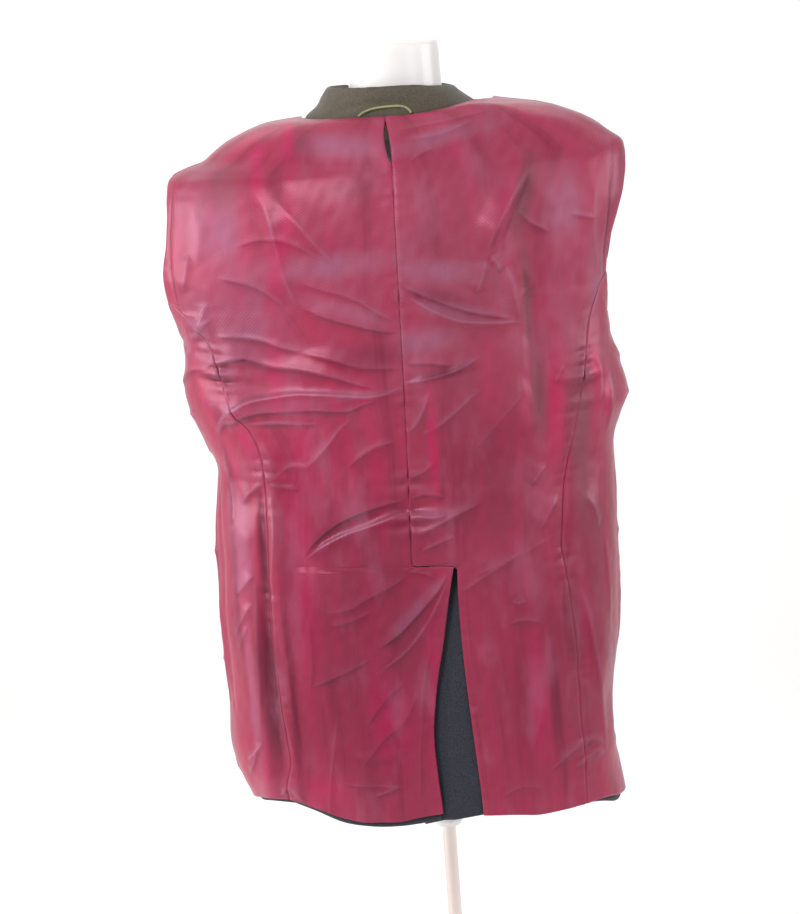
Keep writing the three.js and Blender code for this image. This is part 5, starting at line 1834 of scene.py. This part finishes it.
# --------------------------------------------------------------------------------------- the studio
@dataclass(frozen=True)
class SoftLight:
    """A square soft light: where it is, where it points, its side in metres and its watts."""

    name: str
    place: tuple[float, float, float]
    aim: tuple[float, float, float]
    size: float
    power: float

    def build(self) -> None:
        """Adds the light."""
        data = bpy.data.lights.new(self.name, "AREA")
        data.shape, data.size, data.energy = "SQUARE", self.size, self.power
        made = add_object(self.name, data)
        made.location = self.place
        way = Vector(self.aim) - Vector(self.place)
        made.rotation_euler = way.to_track_quat("-Z", "Y").to_euler()


@dataclass
class Studio:
    """A pale sweep, soft lights and the camera."""

    eye: tuple[float, float, float] = (0.0, -2.6, 1.7054)
    pitch: float = 0.230065
    yaw: float = 0.009742
    roll: float = math.radians(4.25)
    lens: float = 92.99
    white: Colour = (0.93, 0.925, 0.92)
    floor_front: float = -9.0
    floor_back: float = 2.4
    curve: float = 1.2
    wall_top: float = 6.0
    half_width: float = 9.0
    below_floor: float = 0.0006
    sky: Colour = (1.0, 0.99, 0.98)
    sky_strength: float = 0.38
    lights: tuple[SoftLight, ...] = (
        SoftLight("key", (-1.5, -2.5, 2.8), (0.0, 0.0, 1.3), 0.8, 54.0),
        SoftLight("fill", (2.3, -2.4, 1.7), (0.0, 0.0, 1.1), 1.4, 12.0),
        SoftLight("left", (-2.6, -0.2, 1.5), (0.0, 0.0, 1.1), 1.4, 42.0),
        SoftLight("right", (2.6, 0.0, 1.6), (0.0, 0.0, 1.2), 1.4, 26.0),
        SoftLight("top", (0.0, -0.3, 3.4), (0.0, 0.0, 1.2), 1.6, 7.0),
        SoftLight("backdrop", (0.0, 1.6, 2.8), (0.0, 3.0, 0.4), 2.6, 36.0),
    )

    def build(self) -> None:
        """Builds the sweep, the lights and the camera."""
        self._camera()
        self._sweep()
        for light in self.lights:
            light.build()
        world = bpy.data.worlds.new("studio")
        world.use_nodes = True
        sky = world.node_tree.nodes["Background"].inputs
        sky["Color"].default_value = (*self.sky, 1)
        sky["Strength"].default_value = self.sky_strength
        bpy.context.scene.world = world
        bpy.context.scene.view_settings.view_transform = "Standard"

    def _camera(self) -> None:
        """Places the camera, rolled a little about its own axis."""
        forward = Vector((
            -math.sin(self.yaw) * math.cos(self.pitch),
            math.cos(self.yaw) * math.cos(self.pitch),
            -math.sin(self.pitch),
        ))
        right = Vector((math.cos(self.yaw), math.sin(self.yaw), 0.0))
        up = right.cross(forward)
        turned_right = right * math.cos(self.roll) - up * math.sin(self.roll)
        turned_up = right * math.sin(self.roll) + up * math.cos(self.roll)
        data = bpy.data.cameras.new("camera")
        data.lens, data.sensor_width = self.lens, 36.0
        data.clip_start, data.clip_end = 0.05, 60.0
        made = add_object("camera", data)
        axes = Matrix((turned_right, turned_up, -forward)).transposed().to_4x4()
        made.matrix_world = Matrix.Translation(self.eye) @ axes
        bpy.context.scene.camera = made

    def _sweep(self) -> None:
        """A floor that curves up into a backdrop."""
        profile = [(self.floor_front, 0.0), (self.floor_back, 0.0)]
        steps, curve = 12, self.curve
        for i in range(1, steps + 1):
            angle = math.pi / 2 * i / steps
            profile.append(
                (self.floor_back + curve * math.sin(angle), curve - curve * math.cos(angle))
            )
        profile.append((self.floor_back + curve, self.wall_top))
        sides = (-self.half_width, self.half_width)
        points = [(x, y, z - self.below_floor) for y, z in profile for x in sides]
        faces = [(2 * i, 2 * i + 1, 2 * i + 3, 2 * i + 2) for i in range(len(profile) - 1)]
        mesh = bpy.data.meshes.new("sweep")
        mesh.from_pydata(points, [], faces)
        mesh.polygons.foreach_set("use_smooth", [True] * len(mesh.polygons))
        made = add_object("sweep", mesh)
        s = Shader("sweep_paper")
        cloud = s.noise(s.place((0.8, 0.8, 0.8)), 2.0)
        paper = s.blend(cloud, self.white, tuple(0.985 * v for v in self.white))
        mesh.materials.append(s.finish(Base_Color=paper, Roughness=0.9))


def main() -> None:
    """Builds everything in order."""
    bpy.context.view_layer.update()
    Studio().build()
    for group in (
        Lining(), WoolBody(), Sleeves(), VentUnderlap(), Collar(), HangerLoop(), DressForm()
    ):
        for made in group.build():
            area = sum(face.area for face in made.data.polygons) / 2
            faces = len(made.data.polygons)
            LOG.info("%s: %s, %d faces, %.4f m2", type(group).__name__, made.name, faces, area)
    bpy.context.view_layer.update()


if __name__ == "__main__":
    logging.basicConfig(level=logging.INFO, format="%(name)s %(message)s")
    main()
